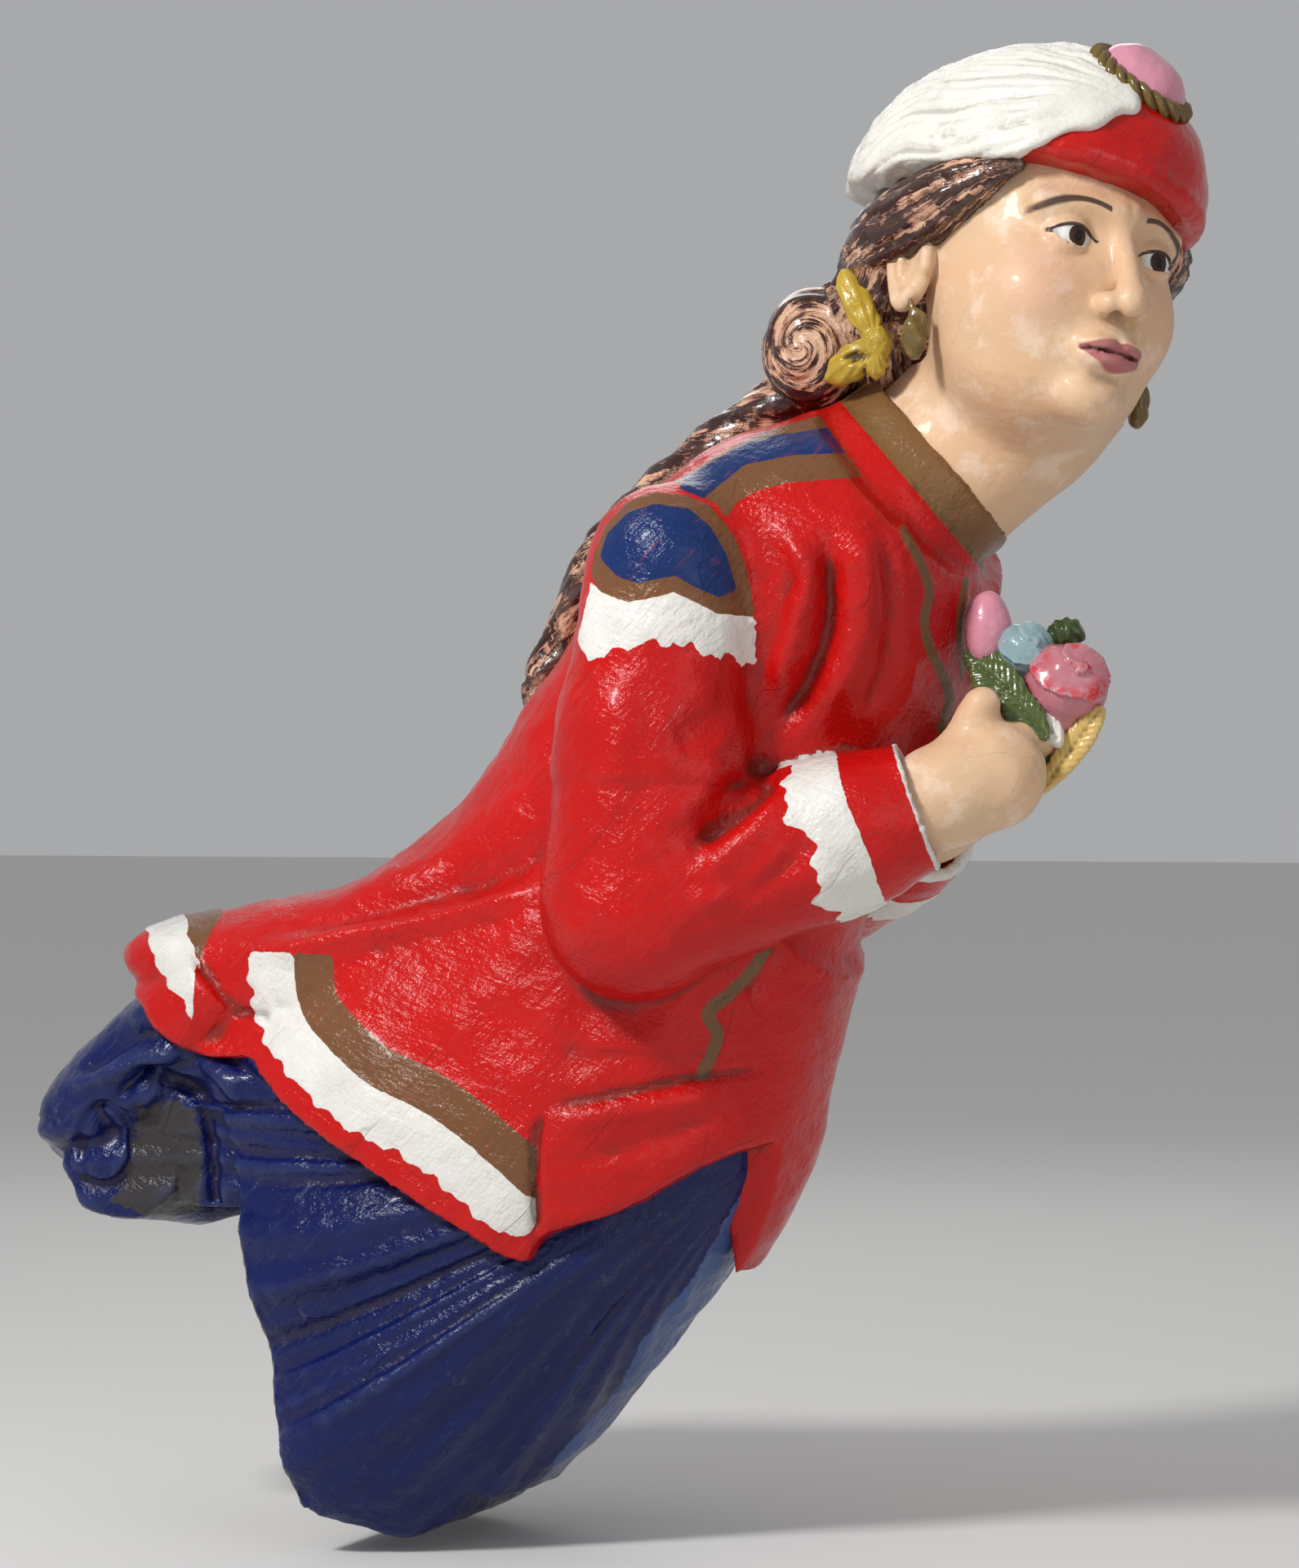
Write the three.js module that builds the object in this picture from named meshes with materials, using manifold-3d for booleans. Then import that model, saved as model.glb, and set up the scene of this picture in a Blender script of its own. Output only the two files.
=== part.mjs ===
// Ship figurehead: a woman in a red jacket and a blue skirt, carved and painted as one solid work.
// Millimetres. +X is the way she looks, +Y is her left, +Z is up.
// The origin is the middle of the flat seat at the back of the skirt that bears on the ship's stem.
//
// The work is built as a distance field: each carved form is a function that is negative inside
// the wood, forms are melted together with a blend radius, the zero surface is cut into
// triangles, those are thinned, and the stem seat is then sawn flat.

import * as THREE from 'three';
import Module from 'manifold-3d';

const degrees = (angle) => (angle * Math.PI) / 180;

// ---- driving dimensions ---------------------------------------------------------------

const GRID_STEP = 6;              // spacing of the field samples
const TRIANGLES = 9000;           // triangles kept before the seat is sawn
const FINE_WEIGHT = 5;            // how much more the head and hands keep than the dress

const TORSO_LEAN = degrees(26);   // forward lean of the body
const JACKET_LEAN = degrees(45);  // lean of the flared lower jacket
const SEAT_LEAN = degrees(13.65); // lean of the sawn seat
const SEAT_TOP = 112;             // height of the shoulder that caps the stem, along the seat
const NECK_LEAN = degrees(42);
const COLLAR_LEAN = degrees(48);
const COLLAR_TILT = degrees(16);  // the collar and neck also lean to her left
const COLLAR = [457, 0, 644];

const HEAD = { x: 533, y: 0, z: 784 };  // middle of the head, between the ears
const HEAD_SIZE = 1.08;                 // the head is carved larger than the body's scale
const HEAD_TURN = degrees(-38);         // turned to her right
const HEAD_NOD = degrees(-4);           // chin up
const HEAD_TILT = degrees(12);          // crown towards her left

const SHOULDER = [316, 148, 572];       // the y of each pair is mirrored for the right side
const ELBOW = [292, 158, 334];
const RIGHT_WRIST = [484, -108, 404];
const LEFT_WRIST = [438, 56, 394];
const RIGHT_HAND = [548, -72, 434];
const LEFT_HAND = [490, 14, 424];
const BOUQUET = [545, -44, 500];

const BUN = [378, 0, 733];
const ROLL_MIDDLE = [-106, 0, 136];
const ROLL_END = [-142, 84, 143];
const ROLL_RADIUS = 47;
const ROLL_EYE = { back: 14, up: 10, half: 25, tall: 31, proud: 6 };   // from the roll's own middle

// ---- small helpers ----------------------------------------------------------------------

const clamp = (value, low, high) => Math.min(high, Math.max(low, value));

// A smooth curve through rows of [place, value, value, ...], held still past both ends.
function profile(rows) {
  const SAMPLES = 96;
  const width = rows[0].length - 1;
  const first = rows[0][0];
  const last = rows[rows.length - 1][0];
  const slope = (row, column) => {
    const before = rows[Math.max(row - 1, 0)];
    const after = rows[Math.min(row + 1, rows.length - 1)];
    return (after[column] - before[column]) / (after[0] - before[0]);
  };
  const table = [];
  for (let sample = 0; sample <= SAMPLES; sample += 1) {
    const place = first + ((last - first) * sample) / SAMPLES;
    let row = 0;
    while (row < rows.length - 2 && rows[row + 1][0] < place) row += 1;
    const span = rows[row + 1][0] - rows[row][0];
    const t = clamp((place - rows[row][0]) / span, 0, 1);
    const values = [];
    for (let column = 1; column <= width; column += 1) {
      const a = rows[row][column];
      const b = rows[row + 1][column];
      const rise = t * t * (3 - 2 * t);
      const leave = t * (1 - t) * (1 - t) * span * slope(row, column);
      const arrive = t * t * (t - 1) * span * slope(row + 1, column);
      values.push(a + (b - a) * rise + leave + arrive);
    }
    table.push(values);
  }
  return (place) => {
    const at = clamp(((place - first) / (last - first)) * SAMPLES, 0, SAMPLES - 1e-6);
    const index = Math.floor(at);
    const t = at - index;
    return table[index].map((value, column) => value + (table[index + 1][column] - value) * t);
  };
}

// Distance to an oval of half sizes ru and rv; power 2 is an ellipse, more is squarer.
function oval(u, v, ru, rv, power) {
  const a = Math.abs(u) / ru;
  const b = Math.abs(v) / rv;
  const rho = (a ** power + b ** power) ** (1 / power) + 1e-6;
  const slopeU = (a / rho) ** (power - 1) / ru;
  const slopeV = (b / rho) ** (power - 1) / rv;
  return (rho - 1) / Math.sqrt(slopeU * slopeU + slopeV * slopeV);
}

function ellipsoid([cx, cy, cz], [rx, ry, rz]) {
  return (x, y, z) => {
    const [u, v, w] = [(x - cx) / rx, (y - cy) / ry, (z - cz) / rz];
    const reach = Math.sqrt(u * u + v * v + w * w) + 1e-6;
    const slope = Math.sqrt((u / rx) ** 2 + (v / ry) ** 2 + (w / rz) ** 2) / reach;
    return (reach - 1) / (slope + 1e-9);
  };
}

// A straight limb with round ends, of radius ra at a and rb at b.
function limb(a, b, ra, rb) {
  const [dx, dy, dz] = [b[0] - a[0], b[1] - a[1], b[2] - a[2]];
  const length2 = dx * dx + dy * dy + dz * dz;
  return (x, y, z) => {
    const [px, py, pz] = [x - a[0], y - a[1], z - a[2]];
    const t = clamp((px * dx + py * dy + pz * dz) / length2, 0, 1);
    const [qx, qy, qz] = [px - t * dx, py - t * dy, pz - t * dz];
    return Math.sqrt(qx * qx + qy * qy + qz * qz) - (ra + (rb - ra) * t);
  };
}

// A body with parallel sections, square to an axis that leans forward from upright.
// Each row is [height along the axis, back, front, half width].
function loft(middle, lean, rows, power) {
  const [sin, cos] = [Math.sin(lean), Math.cos(lean)];
  const section = profile(rows);
  const low = rows[0][0];
  const high = rows[rows.length - 1][0];
  return (x, y, z) => {
    const [dx, dz] = [x - middle[0], z - middle[2]];
    const height = dx * sin + dz * cos;
    const [back, front, half] = section(height);
    const forward = dx * cos - dz * sin - (back + front) / 2;
    const side = oval(forward, y - middle[1], (front - back) / 2, half, power);
    return Math.max(side, low - height, height - high);
  };
}

const melt = (a, b, radius) => {
  if (radius <= 0) return Math.min(a, b);
  const share = Math.max(radius - Math.abs(a - b), 0) / radius;
  return Math.min(a, b) - (share * share * radius) / 4;
};

// The same form on both sides of the body.
const paired = (shape) => (x, y, z) => shape(x, Math.abs(y), z);

// ---- the field --------------------------------------------------------------------------

const LOW = [-245, -240, -150];
const HIGH = [705, 240, 975];
const COUNT = LOW.map((low, axis) => Math.ceil((HIGH[axis] - low) / GRID_STEP) + 1);
const FAR = 60;
const field = new Float32Array(COUNT[0] * COUNT[1] * COUNT[2]).fill(FAR);
const indexOf = (i, j, k) => (i * COUNT[1] + j) * COUNT[2] + k;

function change(low, high, rule) {
  const held = (step, axis) => clamp(step, 1, COUNT[axis] - 2);
  const from = low.map((value, axis) => held(Math.floor((value - LOW[axis]) / GRID_STEP), axis));
  const to = high.map((value, axis) => held(Math.ceil((value - LOW[axis]) / GRID_STEP), axis));
  for (let i = from[0]; i <= to[0]; i += 1) {
    for (let j = from[1]; j <= to[1]; j += 1) {
      for (let k = from[2]; k <= to[2]; k += 1) {
        const at = indexOf(i, j, k);
        const x = LOW[0] + i * GRID_STEP;
        const y = LOW[1] + j * GRID_STEP;
        const z = LOW[2] + k * GRID_STEP;
        field[at] = rule(field[at], x, y, z);
      }
    }
  }
}

const join = (low, high, shape, blend) => {
  change(low, high, (value, x, y, z) => melt(value, shape(x, y, z), blend));
};

// Joins a form that lies within reach of one point.
const joinNear = ([x, y, z], reach, shape, blend) => {
  join([x - reach, y - reach, z - reach], [x + reach, y + reach, z + reach], shape, blend);
};

// ---- skirt ------------------------------------------------------------------------------

const SKIRT_APEX = [357, 0, 165];   // the folds fan out from this place at the front
const skirtOutline = loft([0, 0, 0], 0, [
  [-136, 8, 122, 100],
  [-108, -34, 146, 128],
  [-55, -70, 199, 147],
  [15, -100, 260, 152],
  [75, -120, 310, 150],
  [160, -140, 352, 144],
  [240, -140, 358, 132],
], 2.1);

// Height of the skirt's lower edge, lowest at the side and rising to the front.
const skirtEdge = profile([
  [-20, -80],
  [30, -106],
  [88, -126],
  [118, -118],
  [134, -98],
  [158, -100],
  [200, -78],
  [250, -44],
]);
const SKIRT_STEP = 180;   // above this height the cloth rides back over the stem
const SKIRT_FOLDS = { count: 17, phase: 0.6, depth: 9, start: 60, full: 320 };
const SKIRT_EDGE_SLOPE = 0.85;    // the edge rises and falls, so its height overstates the distance

function skirt(x, y, z) {
  const angle = Math.atan2(SKIRT_APEX[2] - z, SKIRT_APEX[0] - x);
  const reach = Math.hypot(SKIRT_APEX[0] - x, SKIRT_APEX[2] - z);
  const { count, phase, depth, start, full } = SKIRT_FOLDS;
  const folds = Math.sin(angle * count + phase) * clamp((reach - start) / (full - start), 0, 1) * depth;
  const [edge] = skirtEdge(x);
  const behindSeat = x * Math.cos(SEAT_LEAN) + z * Math.sin(SEAT_LEAN);
  const body = Math.max(skirtOutline(x, y, z) + folds, (edge - z) * SKIRT_EDGE_SLOPE);
  return Math.max(body, Math.min(-behindSeat, SKIRT_STEP - z));
}

// ---- jacket -----------------------------------------------------------------------------

const torso = loft([274, 0, 381], TORSO_LEAN, [
  [-130, -140, 150, 140],
  [0, -148, 144, 126],
  [90, -134, 143, 134],
  [173, -126, 145, 150],
  [232, -112, 134, 158],
  [275, -88, 122, 146],
  [315, -46, 112, 104],
  [345, -8, 92, 70],
], 2.3);

const peplum = loft([0, 0, 0], JACKET_LEAN, [
  [60, -238, 186, 158],
  [150, -238, 186, 168],
  [200, -234, 186, 166],
  [280, -222, 182, 157],
  [350, -212, 162, 143],
  [420, -202, 120, 128],
  [480, -180, 84, 112],
], 2.2);

// Height of the jacket's hem on the sides, low at the slit and rising to the front.
const hemHeight = profile([
  [-60, 292],
  [-20, 230],
  [22, 190],
  [93, 146],
  [162, 104],
  [204, 80],
  [216, 98],
  [272, 120],
  [334, 156],
  [372, 166],
]);

const HEM_FLAP = { from: 318, low: 66, half: 24, rise: 4 };   // the pointed flap in front
const HEM_SLOPE = 0.8;

function lowerJacket(x, y, z) {
  const [hem] = hemHeight(x);
  const { from, low, half, rise } = HEM_FLAP;
  const flap = x > from ? low + Math.max(Math.abs(y) - half, 0) * rise : hem;
  return Math.max(peplum(x, y, z), (Math.min(hem, flap) - z) * HEM_SLOPE);
}

// The back panel rides out over the stem.
const tailSection = profile([
  [-150, 291, 12, 64],
  [-130, 291, 24, 94],
  [-97, 282, 42, 110],
  [-70, 275, 53, 118],
  [-30, 279, 57, 123],
  [20, 284, 62, 128],
  [110, 300, 80, 128],
]);
const TAIL_END = -150;
const TAIL_ROOT = 110;

function tail(x, y, z) {
  const [middle, tall, half] = tailSection(x);
  return Math.max(oval(z - middle, y, tall, half, 2.6), TAIL_END - x, x - TAIL_ROOT);
}

// ---- sleeves and hands --------------------------------------------------------------------

const mirrored = ([x, y, z]) => [x, -y, z];
const between = (a, b, t) => a.map((value, axis) => value + (b[axis] - value) * t);

function sleeve(shoulder, elbow, wrist) {
  const reach = 150;
  joinNear(between(shoulder, elbow, 0.25), reach, limb(shoulder, between(shoulder, elbow, 0.55), 58, 66), 22);
  joinNear(between(shoulder, elbow, 0.75), reach, limb(between(shoulder, elbow, 0.5), elbow, 66, 66), 16);
  joinNear(between(elbow, wrist, 0.4), reach, limb(elbow, between(elbow, wrist, 0.8), 62, 52), 10);
  joinNear(wrist, 100, limb(between(elbow, wrist, 0.6), between(elbow, wrist, 0.96), 55, 45), 6);
}

function fist(wrist, hand, side) {
  joinNear(between(wrist, hand, 0.5), 110, limb(wrist, between(wrist, hand, 0.7), 35, 38), 4);
  const [thumbX, thumbY, thumbZ] = between(wrist, hand, 0.45);
  const thumbRoot = [thumbX, thumbY, thumbZ + 26];
  joinNear(thumbRoot, 70, limb(thumbRoot, [thumbX + 12, thumbY, thumbZ + 58], 17, 14), 6);
  for (let finger = 0; finger < 4; finger += 1) {
    const knuckle = [hand[0] - finger * 9, hand[1] - side * 2, hand[2] + 16 - finger * 17];
    const tip = [knuckle[0] + 10, knuckle[1] - side * 34, knuckle[2] + 2];
    joinNear(knuckle, 60, limb(knuckle, tip, 15, 13), 6);
  }
}

// ---- flowers held at the breast -------------------------------------------------------------

const FLOWERS = [
  // offset from the bouquet's middle, half sizes
  [[-30, 4, 28], [17, 16, 28]],
  [[-2, 4, 14], [20, 18, 20]],
  [[25, 14, 26], [14, 12, 11]],
  [[29, -1, -9], [31, 27, 29]],
  [[-16, -10, -18], [30, 14, 17]],
  [[2, -8, -36], [20, 18, 18]],
];
const LEAF = { from: [596, -44, 468], to: [556, -42, 414], radius: 9 };

function flowers() {
  FLOWERS.forEach(([offset, size]) => {
    const middle = BOUQUET.map((value, axis) => value + offset[axis]);
    joinNear(middle, 60, ellipsoid(middle, size), 3);
  });
  joinNear(LEAF.from, 90, limb(LEAF.from, LEAF.to, LEAF.radius, LEAF.radius), 2);
}

// ---- head -------------------------------------------------------------------------------

// Rows are the head's forward, left and up directions.
const headTurn = new THREE.Matrix4()
  .makeRotationZ(HEAD_TURN)
  .multiply(new THREE.Matrix4().makeRotationY(HEAD_NOD))
  .multiply(new THREE.Matrix4().makeRotationX(HEAD_TILT).invert());
const turn = headTurn.elements;

// A form given in the head's own directions, placed in the work.
const onHead = (shape) => (x, y, z) => {
  const [dx, dy, dz] = [(x - HEAD.x) / HEAD_SIZE, (y - HEAD.y) / HEAD_SIZE, (z - HEAD.z) / HEAD_SIZE];
  const forward = dx * turn[0] + dy * turn[1] + dz * turn[2];
  const left = dx * turn[4] + dy * turn[5] + dz * turn[6];
  const up = dx * turn[8] + dy * turn[9] + dz * turn[10];
  return shape(forward, left, up) * HEAD_SIZE;
};

const HEAD_BOX = [[HEAD.x - 170, -170, HEAD.z - 170], [HEAD.x + 175, 170, HEAD.z + 172]];
const joinHead = (shape, blend) => join(HEAD_BOX[0], HEAD_BOX[1], onHead(shape), blend);

function face() {
  joinHead(ellipsoid([-8, 0, 28], [112, 90, 94]), 0);
  joinHead(ellipsoid([26, 0, -30], [78, 76, 88]), 20);
  joinHead(ellipsoid([34, 0, -66], [64, 62, 50]), 14);
  joinHead(ellipsoid([84, 0, -98], [22, 26, 20]), 14);
  joinHead(limb([100, 0, 2], [119, 0, -36], 6, 10), 8);
  joinHead(limb([104, -34, 26], [104, 34, 26], 7, 7), 12);
  joinHead(ellipsoid([99, 0, -64], [12, 22, 9]), 6);
  joinHead(paired(ellipsoid([-4, 92, -14], [18, 10, 32])), 4);
  joinHead(paired(ellipsoid([4, 94, -64], [9, 7, 15])), 2);
}

function hair() {
  joinHead(ellipsoid([-26, 0, 18], [108, 98, 96]), 4);
  joinHead(paired(limb([62, 72, 38], [0, 86, 22], 10, 24)), 8);
  joinHead(paired(limb([0, 86, 22], [-74, 66, -10], 24, 28)), 8);
  joinHead(paired(limb([-74, 66, -10], [-98, 20, -74], 28, 26)), 8);
  joinNear(BUN, 90, ellipsoid(BUN, [42, 48, 48]), 8);
  const hook = [BUN[0] + 30, BUN[1], BUN[2] + 20];
  joinNear(hook, 90, limb(hook, [hook[0] + 40, 0, hook[2] + 24], 30, 40), 10);
}

// The long lock lies along the middle of the back and curls out at its end.
const lock = new THREE.CatmullRomCurve3([
  new THREE.Vector3(352, 0, 696),
  new THREE.Vector3(298, -4, 662),
  new THREE.Vector3(246, 4, 626),
  new THREE.Vector3(208, -4, 582),
  new THREE.Vector3(180, 3, 534),
  new THREE.Vector3(162, -3, 494),
]);

function backLock() {
  const STEPS = 14;
  const points = lock.getPoints(STEPS).map((point) => point.toArray());
  points.slice(1).forEach((point, step) => {
    const thick = 19 - step * 0.5;
    joinNear(point, 50, limb(points[step], point, thick, thick), 5);
  });
}

// The cap is a low dome, cut level with the head at its brim, with a small round top in front.
const CAP = [12, 2, 56];
const CAP_SIZE = [110, 98, 86];
const BRIM = 38;                  // over the middle of the head
const BRIM_FALL = 0.12;           // down towards her left
const CAP_TOP = [81, 9, 112];
const CAP_TOP_SIZE = [33, 34, 27];

const dome = ellipsoid(CAP, CAP_SIZE);

function cap() {
  joinHead((x, y, z) => Math.max(dome(x, y, z), BRIM - BRIM_FALL * y - z), 3);
  joinHead(ellipsoid(CAP_TOP, CAP_TOP_SIZE), 2);
}

// The plume sweeps from the small round top back over the cap and her right side.
const PLUME = { thick: 5, low: 44, front: 74, left: 60 };
const PLUME_WAY = [0.97, 0.25];   // forward and left parts of the way its front edge faces

function plume() {
  const back = ellipsoid([-20, -8, 40], [126, 104, 106]);
  joinHead((x, y, z) => {
    const mass = Math.min(back(x, y, z), dome(x, y, z) - PLUME.thick);
    const ahead = x * PLUME_WAY[0] + y * PLUME_WAY[1] - PLUME.front;
    return Math.max(mass, PLUME.low - z, ahead, y - PLUME.left);
  }, 3);
}

// Leans a form to her left about a line through its middle that runs forward.
const leftward = (shape, middle, angle) => {
  const [sin, cos] = [Math.sin(angle), Math.cos(angle)];
  return (x, y, z) => {
    const [dy, dz] = [y - middle[1], z - middle[2]];
    return shape(x, middle[1] + dy * cos - dz * sin, middle[2] + dy * sin + dz * cos);
  };
};

function neckAndCollar() {
  const neck = loft(COLLAR, NECK_LEAN, [
    [-40, -62, 76, 62],
    [30, -62, 78, 62],
    [80, -58, 84, 66],
    [122, -48, 80, 64],
  ], 2);
  const gold = loft(COLLAR, COLLAR_LEAN, [[-16, -78, 78, 74], [6, -76, 77, 68], [15, -74, 75, 66]], 2);
  const red = loft(COLLAR, COLLAR_LEAN, [[-46, -88, 90, 88], [-26, -80, 84, 80], [-14, -78, 80, 76]], 2);
  joinNear(COLLAR, 190, leftward(neck, COLLAR, COLLAR_TILT), 16);
  joinNear(COLLAR, 120, leftward(gold, COLLAR, COLLAR_TILT), 2);
  joinNear(COLLAR, 120, leftward(red, COLLAR, COLLAR_TILT), 6);
}

// The shoulders stop at the collar.
function shoulders(x, y, z) {
  const above = (x - COLLAR[0]) * Math.sin(COLLAR_LEAN) + (z - COLLAR[2]) * Math.cos(COLLAR_LEAN);
  return Math.max(torso(x, y, z), above + 22);
}

// ---- drape and roll behind the skirt --------------------------------------------------------

function drapeAndRoll() {
  const drape = loft([-110, 0, 222], degrees(-130), [
    [-70, -44, 46, 124],
    [0, -50, 52, 118],
    [79, -40, 52, 104],
    [112, -24, 42, 88],
    [130, -6, 20, 60],
  ], 2.3);
  join([-245, -150, 90], [20, 150, 320], drape, 8);
  const root = loft([-60, 0, 170], 0, [[-64, -50, 60, 78], [0, -70, 70, 92], [60, -80, 80, 108]], 4);
  join([-160, -130, 90], [40, 130, 240], root, 6);
  const roll = (x, y, z) => {
    const t = Math.abs(y) / ROLL_END[1];
    const [middleX, , middleZ] = between(ROLL_MIDDLE, ROLL_END, t);
    const barrel = Math.max(Math.hypot(x - middleX, z - middleZ) - ROLL_RADIUS, Math.abs(y) - ROLL_END[1]);
    const { back, up, half, tall, proud } = ROLL_EYE;
    const disc = oval(x - middleX + back, z - middleZ - up, half, tall, 2);
    return Math.min(barrel, Math.max(disc, Math.abs(y) - ROLL_END[1] - proud));
  };
  join([-230, -110, 70], [-40, 110, 215], roll, 4);
}

// ---- whole work in the field ------------------------------------------------------------------

join([-160, -175, -150], [400, 175, 260], skirt, 0);
drapeAndRoll();
join([-190, -160, 180], [130, 160, 400], tail, 10);
join([-120, -200, 40], [480, 200, 500], lowerJacket, 4);
join([80, -190, 230], [560, 190, 740], shoulders, 24);
sleeve(mirrored(SHOULDER), mirrored(ELBOW), RIGHT_WRIST);
sleeve(SHOULDER, ELBOW, LEFT_WRIST);
neckAndCollar();
face();
hair();
cap();
plume();
backLock();
fist(RIGHT_WRIST, RIGHT_HAND, -1);
fist(LEFT_WRIST, LEFT_HAND, 1);
flowers();

// ---- zero surface, by splitting each cell into six tetrahedra ---------------------------------

const TETRAHEDRA = [[0, 1, 3, 7], [0, 3, 2, 7], [0, 2, 6, 7], [0, 6, 4, 7], [0, 4, 5, 7], [0, 5, 1, 7]];

function zeroSurface() {
  const SHY = 0.08 * GRID_STEP;   // keeps corners off the samples, so that no sliver appears
  for (let at = 0; at < field.length; at += 1) {
    if (Math.abs(field[at]) < SHY) field[at] = field[at] < 0 ? -SHY : SHY;
  }
  const corners = new Map();
  const points = [];
  const triangles = [];
  const place = (at) => {
    const k = at % COUNT[2];
    const j = Math.floor(at / COUNT[2]) % COUNT[1];
    const i = Math.floor(at / COUNT[2] / COUNT[1]);
    return [LOW[0] + i * GRID_STEP, LOW[1] + j * GRID_STEP, LOW[2] + k * GRID_STEP];
  };
  const corner = (a, b) => {
    const [low, high] = a < b ? [a, b] : [b, a];
    const key = low * field.length + high;
    if (!corners.has(key)) {
      corners.set(key, points.length);
      points.push(between(place(low), place(high), field[low] / (field[low] - field[high])));
    }
    return corners.get(key);
  };
  const emit = (a, b, c, flip) => triangles.push(flip ? [a, c, b] : [a, b, c]);
  for (let i = 0; i < COUNT[0] - 1; i += 1) {
    for (let j = 0; j < COUNT[1] - 1; j += 1) {
      for (let k = 0; k < COUNT[2] - 1; k += 1) {
        const cube = [];
        let inside = 0;
        for (let bit = 0; bit < 8; bit += 1) {
          cube.push(indexOf(i + (bit & 1), j + ((bit >> 1) & 1), k + (bit >> 2)));
          if (field[cube[bit]] < 0) inside += 1;
        }
        if (inside === 0 || inside === 8) continue;
        TETRAHEDRA.forEach((tetrahedron) => {
          const nodes = tetrahedron.map((bit) => cube[bit]);
          const wood = nodes.filter((node) => field[node] < 0);
          const air = nodes.filter((node) => field[node] >= 0);
          if (!wood.length || !air.length) return;
          // The order of the four nodes tells which way the cut faces.
          const order = [...wood, ...air].map((node) => nodes.indexOf(node));
          let swaps = 0;
          for (let a = 0; a < 4; a += 1) {
            for (let b = a + 1; b < 4; b += 1) if (order[a] > order[b]) swaps += 1;
          }
          const flip = swaps % 2 === 1;
          if (wood.length === 1) {
            emit(corner(wood[0], air[0]), corner(wood[0], air[1]), corner(wood[0], air[2]), flip);
          } else if (air.length === 1) {
            emit(corner(wood[0], air[0]), corner(wood[1], air[0]), corner(wood[2], air[0]), flip);
          } else {
            const ring = [
              corner(wood[0], air[0]),
              corner(wood[0], air[1]),
              corner(wood[1], air[1]),
              corner(wood[1], air[0]),
            ];
            emit(ring[0], ring[1], ring[2], flip);
            emit(ring[0], ring[2], ring[3], flip);
          }
        });
      }
    }
  }
  return { points, triangles };
}

// ---- thinning: the cheapest edge is closed up, again and again --------------------------------

class Heap {
  constructor() {
    this.items = [];
  }

  push(item) {
    const { items } = this;
    let at = items.length;
    items.push(item);
    while (at > 0) {
      const parent = (at - 1) >> 1;
      if (items[parent].cost <= item.cost) break;
      items[at] = items[parent];
      at = parent;
    }
    items[at] = item;
  }

  pop() {
    const { items } = this;
    const top = items[0];
    const item = items.pop();
    if (!items.length) return top;
    let at = 0;
    for (;;) {
      let child = 2 * at + 1;
      if (child >= items.length) break;
      if (child + 1 < items.length && items[child + 1].cost < items[child].cost) child += 1;
      if (items[child].cost >= item.cost) break;
      items[at] = items[child];
      at = child;
    }
    items[at] = item;
    return top;
  }
}

const minus = (a, b) => [a[0] - b[0], a[1] - b[1], a[2] - b[2]];
const dot = (a, b) => a[0] * b[0] + a[1] * b[1] + a[2] * b[2];
const cross = (a, b) => [
  a[1] * b[2] - a[2] * b[1],
  a[2] * b[0] - a[0] * b[2],
  a[0] * b[1] - a[1] * b[0],
];
const isFine = ([x, , z]) => z > 660 || (x > 470 && z > 360);

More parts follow.
